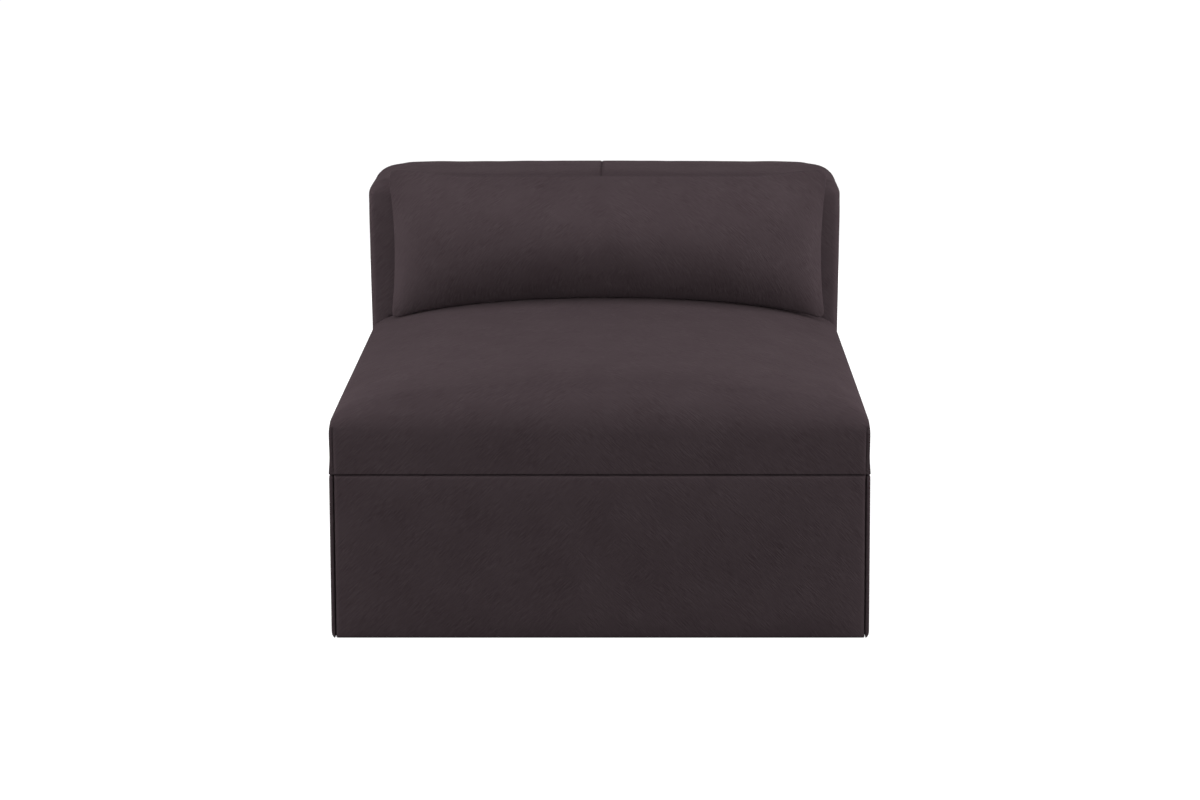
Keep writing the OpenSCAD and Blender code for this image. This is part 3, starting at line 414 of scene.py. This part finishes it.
def elastic_strap(name, across, along):
    """Woven elastic webbing: covered rubber cords 3 mm apart along the strap, crossed by a finer
    weft, matt black with paler worn threads."""
    made, tree, where = new_finish(name)
    turns = math.pi / 10  # the wave pattern's own step at a scale of 1
    cords = add(tree, "TexWave", {"Vector": where, "Scale": per_metre(3) * turns,
                                  "Distortion": 0.3}, out=1, bands_direction=across)
    weft = add(tree, "TexWave", {"Vector": where, "Scale": per_metre(1.8) * turns,
                                 "Distortion": 0.2}, out=1, bands_direction=along)
    thread = add(tree, "Math", {0: cords, 1: weft}, operation="MULTIPLY")
    tone = add(tree, "Mix", {0: thread, 6: paint("#141416"), 7: paint("#3a3a3f")}, out=2,
               data_type="RGBA")
    bump = add(tree, "Bump", {"Strength": 0.6, "Distance": 0.4 * MM, "Height": thread})
    show(tree, Base_Color=tone, Roughness=0.82, Sheen_Weight=0.08, Normal=bump)
    return made


def needle_felt():
    """Needled felt of mixed grey fibres: speckled, matt and slightly hairy."""
    made, tree, where = new_finish("needle_felt")
    hairs = stretched(tree, where, (1, 0.7, 0.1), (14, 1.1, 1.1))
    specks = add(tree, "TexNoise", {"Vector": where, "Scale": per_metre(2.4), "Detail": 3.0})
    pick = add(tree, "MapRange", {0: specks, 1: 0.35, 2: 0.65})
    tone = add(tree, "Mix", {0: pick, 6: paint("#77726a"), 7: paint("#b0aaa0")}, out=2,
               data_type="RGBA")
    bump = add(tree, "Bump", {"Strength": 0.6, "Distance": 0.8 * MM, "Height": hairs})
    show(tree, Base_Color=tone, Roughness=0.95, Sheen_Weight=0.12, Normal=bump)
    return made


def spun_lining():
    """Black spunbonded lining cloth: thin and matt, embossed with small points 2.2 mm apart."""
    made, tree, where = new_finish("spunbonded_lining")
    points = add(tree, "TexVoronoi", {"Vector": where, "Scale": per_metre(2.2),
                                      "Randomness": 0.15})
    press = add(tree, "MapRange", {0: points, 1: 0.15, 2: 0.45})
    haze = add(tree, "TexNoise", {"Vector": where, "Scale": per_metre(45), "Detail": 3.0})
    tone = add(tree, "Mix", {0: haze, 6: paint("#17171a"), 7: paint("#28282c")}, out=2,
               data_type="RGBA")
    bump = add(tree, "Bump", {"Strength": 0.5, "Distance": 0.3 * MM, "Height": press})
    show(tree, Base_Color=tone, Roughness=0.88, Specular_IOR_Level=0.25, Normal=bump)
    return made


velvet = velvet_cover()
pine = [sawn_pine(axis) for axis in range(3)]
stained_pine = [sawn_pine(axis, stained=True) for axis in range(2)]
STAINED = ("base_runner_left", "base_runner_right", "cross_rail_front", "cross_rail_rear",
           "plinth_rail", "back_middle_rail")
straps_over_y = elastic_strap("elastic_webbing_lengthways", "X", "Y")
straps_over_x = elastic_strap("elastic_webbing_across", "Y", "X")
straps_over_z = elastic_strap("elastic_webbing_upright", "X", "Z")
felt = needle_felt()
lining = spun_lining()
finish_of_slot = {
    "black_steel": powder_coat(),
    "zinc_steel": zinc_plate(),
    "black_plastic": moulded("black_nylon", ("#17171a", "#232327"), 0.55, 0.9),
    "button_plastic": moulded("satin_button_plastic", ("#7f8084", "#94959a"), 0.38, 0.6),
}

for row in frame["record"]["subparts"]:
    node, slot = nodes[row["node"]], row["material_slot"]
    if slot == "timber":
        low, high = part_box(row["node"])
        size = high - low
        woods = stained_pine if row["node"] in STAINED else pine
        chosen = woods[max(range(3), key=lambda axis: size[axis])]
    elif slot in finish_of_slot:
        chosen = finish_of_slot[slot]
    else:
        continue
    node.data.materials.clear()
    node.data.materials.append(chosen)


def dress(piece, material, slot, body, *stands_for):
    """Gives a piece its finish and its body, and hides the CAD nodes that it stands for. Its slot
    is not used.
    """
    piece.data.materials.clear()
    piece.data.materials.append(material)
    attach(piece, body)
    if stands_for:
        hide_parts(*stands_for)
    return piece


# Seat and base


def make_seat():
    """The seat cushion: one sheet of velvet over its front and top, boxed with a band at each
    side, so that a seam climbs both front corners and runs back along the side edges."""
    give_top, give_wall, rim = 5 * MM, 1.2 * MM, 0.8 * MM
    side_fade, rear_fade, front_fade = 90 * MM, 40 * MM, 80 * MM
    lean_reach, side_draw = 30 * MM, 2.5 * MM
    seam_x = HALF_W - CORNER_SEAM
    xs = lines(-HALF_W, HALF_W, 84, 0.75, marks=(-seam_x, seam_x), half=1.3 * MM)
    length = seat_high.y - seat_low.y
    ys = [seat_low.y + length * (i / 76) ** 1.5 for i in range(77)]
    zs = [seat_low.z, seat_low.z + rim] + lines(seat_low.z + 4 * rim, seat_low.z + SIDE_H, 9)
    bm = grid_block(xs, ys, zs)
    bm.verts.index_update()
    seam, climb, edge, held, give = [], [], [], [], np.zeros(len(bm.verts))
    for v in bm.verts:
        on_top = v.co.z > zs[-1] - TINY
        on_front = v.co.y < ys[0] + TINY
        on_side = abs(v.co.x) > HALF_W - TINY
        low_down = v.co.z < zs[1] + TINY
        at_corner = on_front and abs(abs(v.co.x) - seam_x) < TINY
        up = (v.co.z - seat_low.z) / SIDE_H
        if at_corner and not low_down:
            seam.append(v.index)
            climb.append(up)
        if on_top and on_side:
            edge.append(v.index)
        if low_down or at_corner or (on_top and on_side) or v.co.y > ys[-1] - TINY:
            held.append(v.index)
        # the foam lies lower than the cover by what the cover may swell, away from the edges
        near = min(1.0, (HALF_W - abs(v.co.x)) / side_fade)
        near *= min(1.0, (ys[-1] - v.co.y) / rear_fade) * min(1.0, (v.co.y - ys[0]) / front_fade)
        if on_top:
            give[v.index] = give_wall / 2 + (give_top - give_wall / 2) * near
        else:
            give[v.index] = give_wall * math.sin(math.pi * min(up, 1.0)) * (0.3 if on_side else 1.0)
        # the front leans in where the roll starts
        if not on_side:
            v.co.y += front_in(v.co.x, v.co.z) * max(0.0, 1 - (v.co.y - ys[0]) / lean_reach)
        top = seat_top(v.co.x, v.co.y) - (give_top * near if on_top else 0.0)
        if v.co.z < zs[0] + TINY:
            # the lower rim is rounded under
            v.co.x *= 1 - rim / HALF_W
            v.co.y += rim * (ys[-1] - v.co.y) / length
        elif v.co.z > zs[1] + TINY:
            v.co.z = seat_low.z + (top - seat_low.z) * up
        if on_side:
            v.co.x -= math.copysign(side_draw * min(1.0, 3 * up), v.co.x)
    # the seam gapes a little more towards the top
    seam_depth = SEAM_DEPTH * (0.7 + 0.5 * np.array(climb))
    return finish_mesh(bm, "seat_velvet"), seam, seam_depth, edge, held, give


def make_footrest():
    """The footrest's front: velvet over thin foam on a board. Its face falls away a little to
    all sides, and its sides follow the flare of the side panels."""
    give_face, crown_h, rim, slit = 2.5 * MM, 4 * MM, 1 * MM, 0.8 * MM
    half_w = panel_high.x - EDGE_SHOWS - slit
    low = Vector((-half_w, BASE_LOW, 0))
    high = Vector((half_w, BASE_TOP, foot_high.y - foot_low.y - rim))
    # made lying down, face up, then stood on its edge
    bm = grid_block(lines(low.x, high.x, 80, 0.7), lines(low.y, high.y, 30, 0.7),
                    lines(0, high.z, 5))
    bm.verts.index_update()
    held, give = [], np.zeros(len(bm.verts))
    for v in bm.verts:
        u = v.co.x / high.x
        w = (2 * v.co.y - low.y - high.y) / (high.y - low.y)
        on_face = v.co.z > high.z - TINY
        crown = crown_h * dome(u, 6) * dome(w, 6) if on_face else 0.0
        if not on_face or abs(u) > 0.99 or abs(w) > 0.95:
            held.append(v.index)
        give[v.index] = give_face * min(1.0, (1 - abs(u)) * 10) * min(1.0, (1 - abs(w)) * 4)
        v.co = round_block(v.co, low, high, rim, rim, rim)
        v.co.z += crown
        v.co.x *= 1 + PANEL_FLARE / half_w * (1 - v.co.y / high.y)
    for v in bm.verts:
        x, z, out = v.co
        v.co = Vector((x, foot_high.y - out, z))
    return finish_mesh(bm, "footrest_velvet"), held, give


def make_panel(side):
    """An upholstered side panel, velvet over thin foam on a board, thinner in front, where the
    footrest's cushion lies beside it. The right one has a window for the switch."""
    low = Vector((seat_low.y, BASE_LOW, 0))
    high = Vector((panel_high.y, BASE_TOP, PANEL_T))
    # where it gets thinner, how far the switch keeps the flare off, and the rounded lower edge
    step_y, flat_reach = foot_high.y + 3 * MM, 60 * MM
    under_h, under_in = 9 * MM, 6 * MM
    # no other line of the grid comes nearer to the step or to the window
    apart_y, apart_z = 5 * MM, 4 * MM
    ys = sorted([y for y in lines(low.x, high.x, 50, 0.6) if abs(y - step_y) > apart_z]
                + [step_y, step_y + 2 * MM])
    zs = lines(low.y, high.y, 24, 0.6)
    window = None
    if side > 0:
        air = 0.3 * MM
        window = (switch_low.y - air, switch_high.y + air, switch_low.z - air, switch_high.z + air)
        ys = sorted([y for y in ys if all(abs(y - w) > apart_y for w in window[:2])]
                    + list(window[:2]))
        zs = sorted([z for z in zs if all(abs(z - w) > apart_z for w in window[2:])]
                    + list(window[2:]))
    bm = grid_block(ys, zs, [0.0, PANEL_T / 2, PANEL_T])
    if window:
        inside = [f for f in bm.faces if window[0] < f.calc_center_median().x < window[1]
                  and window[2] < f.calc_center_median().y < window[3]]
        bmesh.ops.delete(bm, geom=inside, context="FACES")
        bmesh.ops.bridge_loops(bm, edges=[e for e in bm.edges if e.is_boundary])
    for v in bm.verts:
        p = v.co.copy()
        v.co = round_block(p, low, high, 1.2 * MM, 4 * MM, 2 * MM, 1.5 * MM)
        if p.x < step_y + TINY:
            v.co.z = PANEL_T - (PANEL_T - v.co.z) * EDGE_SHOWS / PANEL_T
        clear = 1.0
        if window:
            off = max(window[0] - p.x, p.x - window[1], window[2] - p.y, p.y - window[3], 0.0)
            clear = min(1.0, off / flat_reach)
        down = (high.y - p.y) / (high.y - low.y)
        v.co.z += PANEL_FLARE * clear * down * (1.0 if p.x < step_y + TINY else p.z / PANEL_T)
        v.co.z -= under_in * max(0.0, 1 - p.y / under_h) ** 2 * p.z / PANEL_T
    for v in bm.verts:
        y, z, out = v.co
        v.co = Vector((side * (panel_low.x + out), y, z))
    return finish_mesh(bm, "side_velvet_" + ("right" if side > 0 else "left"))


def make_tongue():
    """The padded flap behind the seat, which covers the gap when the back leans away."""
    low, high = tongue_low, tongue_high
    soft_r, low_r = 9 * MM, 5 * MM
    bm = grid_block(lines(low.x, high.x, 70, 0.5), lines(low.y, high.y, 14, 0.4),
                    lines(low.z, high.z, 8, 0.4))
    for v in bm.verts:
        up = (v.co.z - low.z) / (high.z - low.z)
        back = (v.co.y - low.y) / (high.y - low.y)
        v.co = round_block(v.co, low, high, soft_r, soft_r, soft_r, low_r)
        v.co.z -= TONGUE_FALL * back * up
    return finish_mesh(bm, "tongue_velvet")


# Back

PLAIN, RIM, CORNER, BAND, MIDDLE = range(5)  # the kinds of places on the back block's cover


def make_block():
    """The back block's cover: a boxed back with a seam up each front corner and one over the
    middle of its top, open below and low in front, where the frame and the seat's tongue go in.
    The lining of its pocket comes with it."""
    give_face, side_fade, top_fade, end_fade = 6 * MM, 80 * MM, 50 * MM, 60 * MM
    front_r, rear_r, top_r, low_r = 12 * MM, 112 * MM, 29 * MM, 3 * MM
    spread, spread_h, spread_reach = 2 * MM, 160 * MM, 120 * MM
    low = block_low.copy()
    high = Vector((block_high.x, block_high.y, block_high.z + 2 * MM))
    # the pocket takes in the tongue and the frame, behind padding in front and at the rear
    inner_x, step_z = tongue_high.x + 8 * MM, tongue_high.z + 10 * MM
    pad_y, rear_y, ceiling = low.y + 40 * MM, high.y - 30 * MM, block_high.z - 40 * MM
    # the grid is close at the rims, and no line of it comes near the pocket's edges
    apart = 5 * MM
    rim = [0.0, 2 * MM, 5 * MM, 9 * MM, 14 * MM, 19 * MM, 24 * MM, 29 * MM]
    xs = sorted([side * (HALF_W - r) for side in (-1, 1) for r in rim]
                + [-inner_x, inner_x]
                + lines(-inner_x + 9 * MM, inner_x - 9 * MM, 76, 0.0, marks=(MIDDLE_SEAM,)))
    ys = sorted([low.y + r for r in rim] + [high.y - r for r in rim] + [pad_y, rear_y]
                + lines(low.y + 46 * MM, high.y - 40 * MM, 15)[1:-1])
    zs = sorted([high.z - r for r in rim] + [low.z, low.z + low_r, step_z]
                + [z for z in lines(low.z + 12 * MM, high.z - 43 * MM, 42)
                   if abs(z - step_z) > apart])
    shell = grid_block(xs, ys, zs)
    opened = []
    for f in shell.faces:
        x, y, z = f.calc_center_median()
        if abs(x) < inner_x and ((y < low.y + TINY and z < step_z)
                                 or (z < low.z + TINY and y < rear_y)):
            opened.append(f)
    bmesh.ops.delete(shell, geom=opened, context="FACES")
    pocket = grid_block([x for x in xs if abs(x) <= inner_x + TINY],
                        [y for y in ys if y <= rear_y + TINY],
                        [z for z in zs if z < ceiling - apart] + [ceiling])
    opened = [f for f in pocket.faces if all(v.co.z < low.z + TINY for v in f.verts)
              or all(v.co.y < low.y + TINY and v.co.z < step_z + TINY for v in f.verts)]
    bmesh.ops.delete(pocket, geom=opened, context="FACES")
    for f in pocket.faces:
        f.material_index = 1
    walls = bpy.data.meshes.new("pocket_walls")
    pocket.to_mesh(walls)
    pocket.free()
    kinds = shell.verts.layers.int.new("kind")
    gives = shell.verts.layers.float.new("give")
    for v in shell.verts:
        p = v.co
        on_front, on_rear, on_top = p.y < low.y + TINY, p.y > high.y - TINY, p.z > high.z - TINY
        on_side = abs(p.x) > HALF_W - TINY
        in_x, in_y = HALF_W - abs(p.x), min(p.y - low.y, high.y - p.y)
        at_corner = on_front and on_side
        at_band = on_top and ((on_side and in_y > 0) or on_rear)
        at_middle = abs(p.x - MIDDLE_SEAM) < TINY and (
            on_top or on_rear or (on_front and p.z > step_z))
        at_hole = abs(p.x) <= inner_x + TINY and (
            (on_front and p.z <= step_z + TINY) or (p.z < low.z + TINY and p.y <= rear_y + TINY))
        fade = min(1.0, (in_x if on_front or on_rear or on_top else in_y) / side_fade)
        if on_top:
            fade *= min(1.0, in_y / top_fade)
        else:
            fade *= min(1.0, (p.z - low.z) / end_fade) * min(1.0, (high.z - p.z) / end_fade)
        v[gives] = give_face * fade * (0.3 if on_front else 1.0)
        v[kinds] = CORNER if at_corner else MIDDLE if at_middle else BAND if at_band else (
            RIM if at_hole or p.z < low.z + TINY else PLAIN)
    shell.from_mesh(walls)
    bpy.data.meshes.remove(walls)
    for v in shell.verts:
        if all(f.material_index == 1 for f in v.link_faces):
            v[kinds] = RIM
            if v.co.y < low.y + TINY and v.co.z > step_z + TINY:
                v.co.y = pad_y
    bmesh.ops.remove_doubles(shell, verts=shell.verts, dist=MM / 20)
    for v in shell.verts:
        if any(f.material_index == 0 for f in v.link_faces):
            v.co = round_block(v.co, low, high, front_r, rear_r, top_r, low_r)
            # the front's lower corners spread a little where the seat is
            far = spread * max(0.0, 1 - (v.co.z - low.z) / spread_h)
            v.co.x += far * v.co.x / HALF_W * max(0.0, 1 - (v.co.y - low.y) / spread_reach)
    shell.verts.index_update()
    kind = np.array([v[kinds] for v in shell.verts])
    give = np.array([v[gives] for v in shell.verts])
    piece = finish_mesh(shell, "back_velvet")
    held = np.flatnonzero((kind != PLAIN) & (kind != MIDDLE))
    return piece, [np.flatnonzero(kind == seam) for seam in (CORNER, BAND, MIDDLE)], held, give


def make_pillow():
    """The lumbar pillow: two panels sewn together round a knife edge. Its upper corners stand up
    as rounded ears."""
    half_w, corner_r = (pillow_high.x - pillow_low.x) / 2, 17 * MM
    draw, dip, lip = 11 * MM, 12.5 * MM, 2.2 * MM
    front_t, rear_t, give_face = 68 * MM, 50 * MM, 12 * MM
    # it leans on the block: its lower seam lies in front of its upper one
    seam_y, lean = block_low.y - 54 * MM, 6 * MM
    seam_up, seam_half_t, side_in, middle_h = 5.5 * MM, 1.6 * MM, 1.5 * MM, 130 * MM
    ear_starts, ear_over = 0.62, 0.34
    low, high = Vector((-half_w, -middle_h, 0)), Vector((half_w, middle_h, 0))
    bm = grid_block(lines(-1, 1, 96, 0.85), [-1.0, 0.0, 1.0], lines(-1, 1, 40, 0.85))
    bm.verts.index_update()
    held, give = [], np.zeros(len(bm.verts))
    for v in bm.verts:
        u, side, w = v.co
        fade = 0.7 + 0.2 * max(0.0, w) ** 2  # the upper seam is pulled out sharper
        plump = max(0.0, (1 - abs(u) ** 4) * (1 - abs(w) ** (2.6 if w > 0 else 2.2))) ** fade
        flat = round_block(Vector((u * half_w, w * middle_h, 0)), low, high, corner_r, corner_r, 0)
        u, w = flat.x / half_w, flat.y / middle_h
        edge_z = seat_top(u * half_w, seam_y - lean) + seam_up
        ear = min(1.0, max(0.0, (abs(u) - ear_starts) / ear_over))
        top_z = pillow_high.z - dip * (1 - ear * ear * (3 - 2 * ear))
        x = u * (half_w - draw * (1 - w * w) - side_in)
        z = (edge_z + top_z) / 2 + w * (top_z - edge_z) / 2
        foot = -lean * ((1 - w) / 2) ** 1.5
        bulge = 0.0
        if side < -0.5:
            # fuller above, where it leans forward over nothing
            bulge = -front_t * plump * (1 - 0.08 * max(0.0, -w))
        elif side > 0.5:
            bulge = rear_t * min(1.0, 1.7 * plump)
        else:
            x += lip * math.copysign(abs(u) ** 9, u)
            z += lip * math.copysign(abs(w) ** 9, w)
        if plump < 1e-6:
            held.append(v.index)
        give[v.index] = give_face * plump * (1.0 if side < 0 else 0.1)
        v.co = Vector((x + PILLOW_SHIFT, seam_y + foot + bulge + side * seam_half_t, z))
    return finish_mesh(bm, "pillow_velvet"), held, give


# Webbing, felt and lining


def make_straps(name, boxes, long_axis, sag=0.0):
    """Straps of flat webbing as one piece. Each spans its box, bowed by sag."""
    cuts = [2, 2, 1]
    cuts[long_axis] = 36      # cells along a strap, enough for its bow
    whole = bmesh.new()
    for low, high in boxes:
        strap = grid_block(*[[low[i] + (high[i] - low[i]) * k / cuts[i]
                              for k in range(cuts[i] + 1)] for i in range(3)])
        for v in strap.verts:
            share = (v.co[long_axis] - low[long_axis]) / (high[long_axis] - low[long_axis])
            v.co[1 if long_axis == 2 else 2] -= sag * math.sin(math.pi * share)
        one = bpy.data.meshes.new("strap")
        strap.to_mesh(one)
        strap.free()
        whole.from_mesh(one)
        bpy.data.meshes.remove(one)
    return finish_mesh(whole, name, smooth=False)


def make_sheet(name, low, high, cells, ripple):
    """A thin sheet in the given box, faintly uneven."""
    ripples = 12              # per metre
    bm = grid_block(*[[low[i] + (high[i] - low[i]) * k / cells[i] for k in range(cells[i] + 1)]
                      for i in range(3)])
    thin = cells.index(1)
    for v in bm.verts:
        flat = v.co.copy()
        flat[thin] = 0.0
        v.co[thin] += ripple * noise.noise(flat * ripples)
    return finish_mesh(bm, name)


seat, seat_seam, seat_seam_depth, seat_edge, seat_held, seat_give = make_seat()
foot, foot_held, foot_give = make_footrest()
block, (block_corner, block_band, block_middle), block_held, block_give = make_block()
pillow, pillow_held, pillow_give = make_pillow()
swell([(seat, seat_held, seat_give), (foot, foot_held, foot_give),
       (block, block_held, block_give), (pillow, pillow_held, pillow_give)])
carve(seat, seat_seam, seat_seam_depth)
carve(seat, seat_edge, SEAM_DEPTH / 3)
carve(block, block_corner, -SEAM_DEPTH / 4)
carve(block, block_band, SEAM_DEPTH / 3)
carve(block, block_middle, SEAM_DEPTH)

dress(seat, velvet, "velvet", "base", "seat_cushion")
dress(foot, velvet, "velvet", "footrest", "footrest_pad")
dress(block, velvet, "velvet", "back", "back_cover")
block.data.materials.append(lining)
dress(pillow, velvet, "velvet", "back", "lumbar_pillow")
panels = [dress(make_panel(side), velvet, "velvet", "base", node)
          for side, node in ((-1, "base_panel_left"), (1, "base_panel_right"))]
tongue = dress(make_tongue(), velvet, "velvet", "base", "seat_tongue")
for piece, fill in ((seat, 0.85), (foot, 0.9), (block, 0.9), (pillow, 0.7), (tongue, 0.8),
                    (panels[0], 1.0), (panels[1], 1.0)):
    smoother = piece.modifiers.new("Subdivision", "SUBSURF")
    smoother.levels = smoother.render_levels = 1

# Straps lengthways under straps across in the seat, and upright ones in the back
strap_w, strap_t = 60 * MM, 1.5 * MM
count_lengthways, count_across, count_upright = 7, 3, 5
web_low, web_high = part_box("seat_webbing")
rail_in = 20 * MM
span_x = web_high.x - web_low.x - 2 * rail_in
span_y = web_high.y - web_low.y
lengthways = []
for i in range(count_lengthways):
    x = web_low.x + rail_in + span_x * (i + 0.5) / count_lengthways
    lengthways.append((Vector((x - strap_w / 2, web_low.y, web_low.z)),
                       Vector((x + strap_w / 2, web_high.y, web_low.z + strap_t))))
across = []
for i in range(count_across):
    y = web_low.y + span_y * (i + 1) / (count_across + 1)
    across.append((Vector((web_low.x, y - strap_w / 2, web_low.z + strap_t)),
                   Vector((web_high.x, y + strap_w / 2, web_high.z))))
upright = []
spine_low, spine_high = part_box("back_webbing")
pitch = (spine_high.x - spine_low.x - strap_w) / (count_upright - 1)
for i in range(count_upright):
    x = spine_low.x + pitch * i
    upright.append((Vector((x, spine_low.y, spine_low.z)),
                    Vector((x + strap_w, spine_high.y, spine_high.z))))
dress(make_straps("seat_straps_lengthways", lengthways, 1, sag=4 * MM), straps_over_y, "webbing",
      "base", "seat_webbing")
dress(make_straps("seat_straps_across", across, 0, sag=3 * MM), straps_over_x, "webbing", "base")
dress(make_straps("back_straps", upright, 2), straps_over_z, "webbing", "back", "back_webbing")

deck_low, deck_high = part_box("seat_deck")
deck = dress(make_sheet("seat_deck_felt", deck_low, deck_high, [60, 50, 1], 0.3 * MM), felt,
             "felt", "base", "seat_deck")
cloth_low, cloth_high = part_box("back_lower_cloth")
lower_cloth = dress(make_sheet("back_lower_lining", cloth_low, cloth_high, [60, 1, 24], 0.8 * MM),
                    lining, "dust_cloth", "back", "back_lower_cloth")


# Floor, light and camera


def shows_white(tree):
    """1 for the rays in which the white ground is seen, 0 for those that light the chair."""
    rays = tree.nodes.new("ShaderNodeLightPath").outputs
    seen = add(tree, "Math", {0: rays["Is Camera Ray"], 1: rays["Is Glossy Ray"]},
               operation="MAXIMUM")
    return add(tree, "Math", {0: seen, 1: rays["Is Transmission Ray"]}, operation="MAXIMUM")


floor_reach = 14
floor_glow = 0.93         # what the paper needs beside the lamps to show white
ambient = 0.30            # light from all round, beside the softboxes

floor_bm = bmesh.new()
bmesh.ops.create_grid(floor_bm, x_segments=1, y_segments=1, size=floor_reach)
floor = finish_mesh(floor_bm, "studio_floor", smooth=False)
paper, tree, where = new_finish("white_studio_paper")
grain = add(tree, "TexNoise", {"Vector": where, "Scale": per_metre(3), "Detail": 2.0})
tooth = add(tree, "Bump", {"Strength": 0.1, "Distance": 0.1 * MM, "Height": grain})
matt = add(tree, "BsdfDiffuse", {"Color": paint("#9c9c9c"), "Normal": tooth})
lit = add(tree, "Math", {0: shows_white(tree), 1: floor_glow}, operation="MULTIPLY")
glow = add(tree, "Emission", {"Color": paint("#ffffff"), "Strength": lit})
add(tree, "OutputMaterial", {"Surface": add(tree, "AddShader", {0: matt, 1: glow})})
floor.data.materials.append(paper)

studio = bpy.data.worlds.new("white_studio")
studio.use_nodes = True
tree = studio.node_tree
tree.nodes.clear()
level = add(tree, "MapRange", {0: shows_white(tree), 3: ambient, 4: 1.0})
add(tree, "OutputWorld", {"Surface": add(tree, "Background", {"Color": paint("#ffffff"),
                                                              "Strength": level})})
bpy.context.scene.world = studio


def soft_light(name, place, target, wide, high, power):
    """A large softbox that faces a point."""
    lamp = bpy.data.lights.new(name, "AREA")
    lamp.shape, lamp.size, lamp.size_y, lamp.energy = "RECTANGLE", wide, high, power
    holder = bpy.data.objects.new(name, lamp)
    holder.location = place
    holder.rotation_euler = (Vector(target) - Vector(place)).to_track_quat("-Z", "Y").to_euler()
    bpy.context.scene.collection.objects.link(holder)


soft_light("left_softbox", (-2.6, -0.9, 0.9), (0.0, 0.0, 0.4), 1.4, 1.4, 68)
soft_light("right_softbox", (2.6, -0.9, 0.9), (0.0, 0.0, 0.4), 1.4, 1.4, 72)
soft_light("overhead_softbox", (0.0, -0.6, 2.8), (0.0, 0.0, 0.4), 2.4, 1.2, 37)
soft_light("front_softbox", (0.0, -4.6, 2.2), (0.0, 0.0, 0.35), 2.6, 2.6, 21)
soft_light("rear_softbox", (0.0, 3.0, 0.5), (0.0, 0.5, 0.35), 1.2, 0.5, 30)

# The photograph was cropped off its middle, so the camera has a small sideways shift
view_down = math.radians(15.05)
camera = bpy.data.objects.new("camera", bpy.data.cameras.new("camera"))
camera.data.lens, camera.data.sensor_width, camera.data.clip_end = 72, 36, 60
camera.data.shift_x = -0.0289
camera.location = (0.0645, -4.770, 1.604)
camera.rotation_euler = (math.pi / 2 - view_down, 0, 0)
bpy.context.scene.collection.objects.link(camera)
bpy.context.scene.camera = camera
bpy.context.scene.view_settings.view_transform = "Standard"
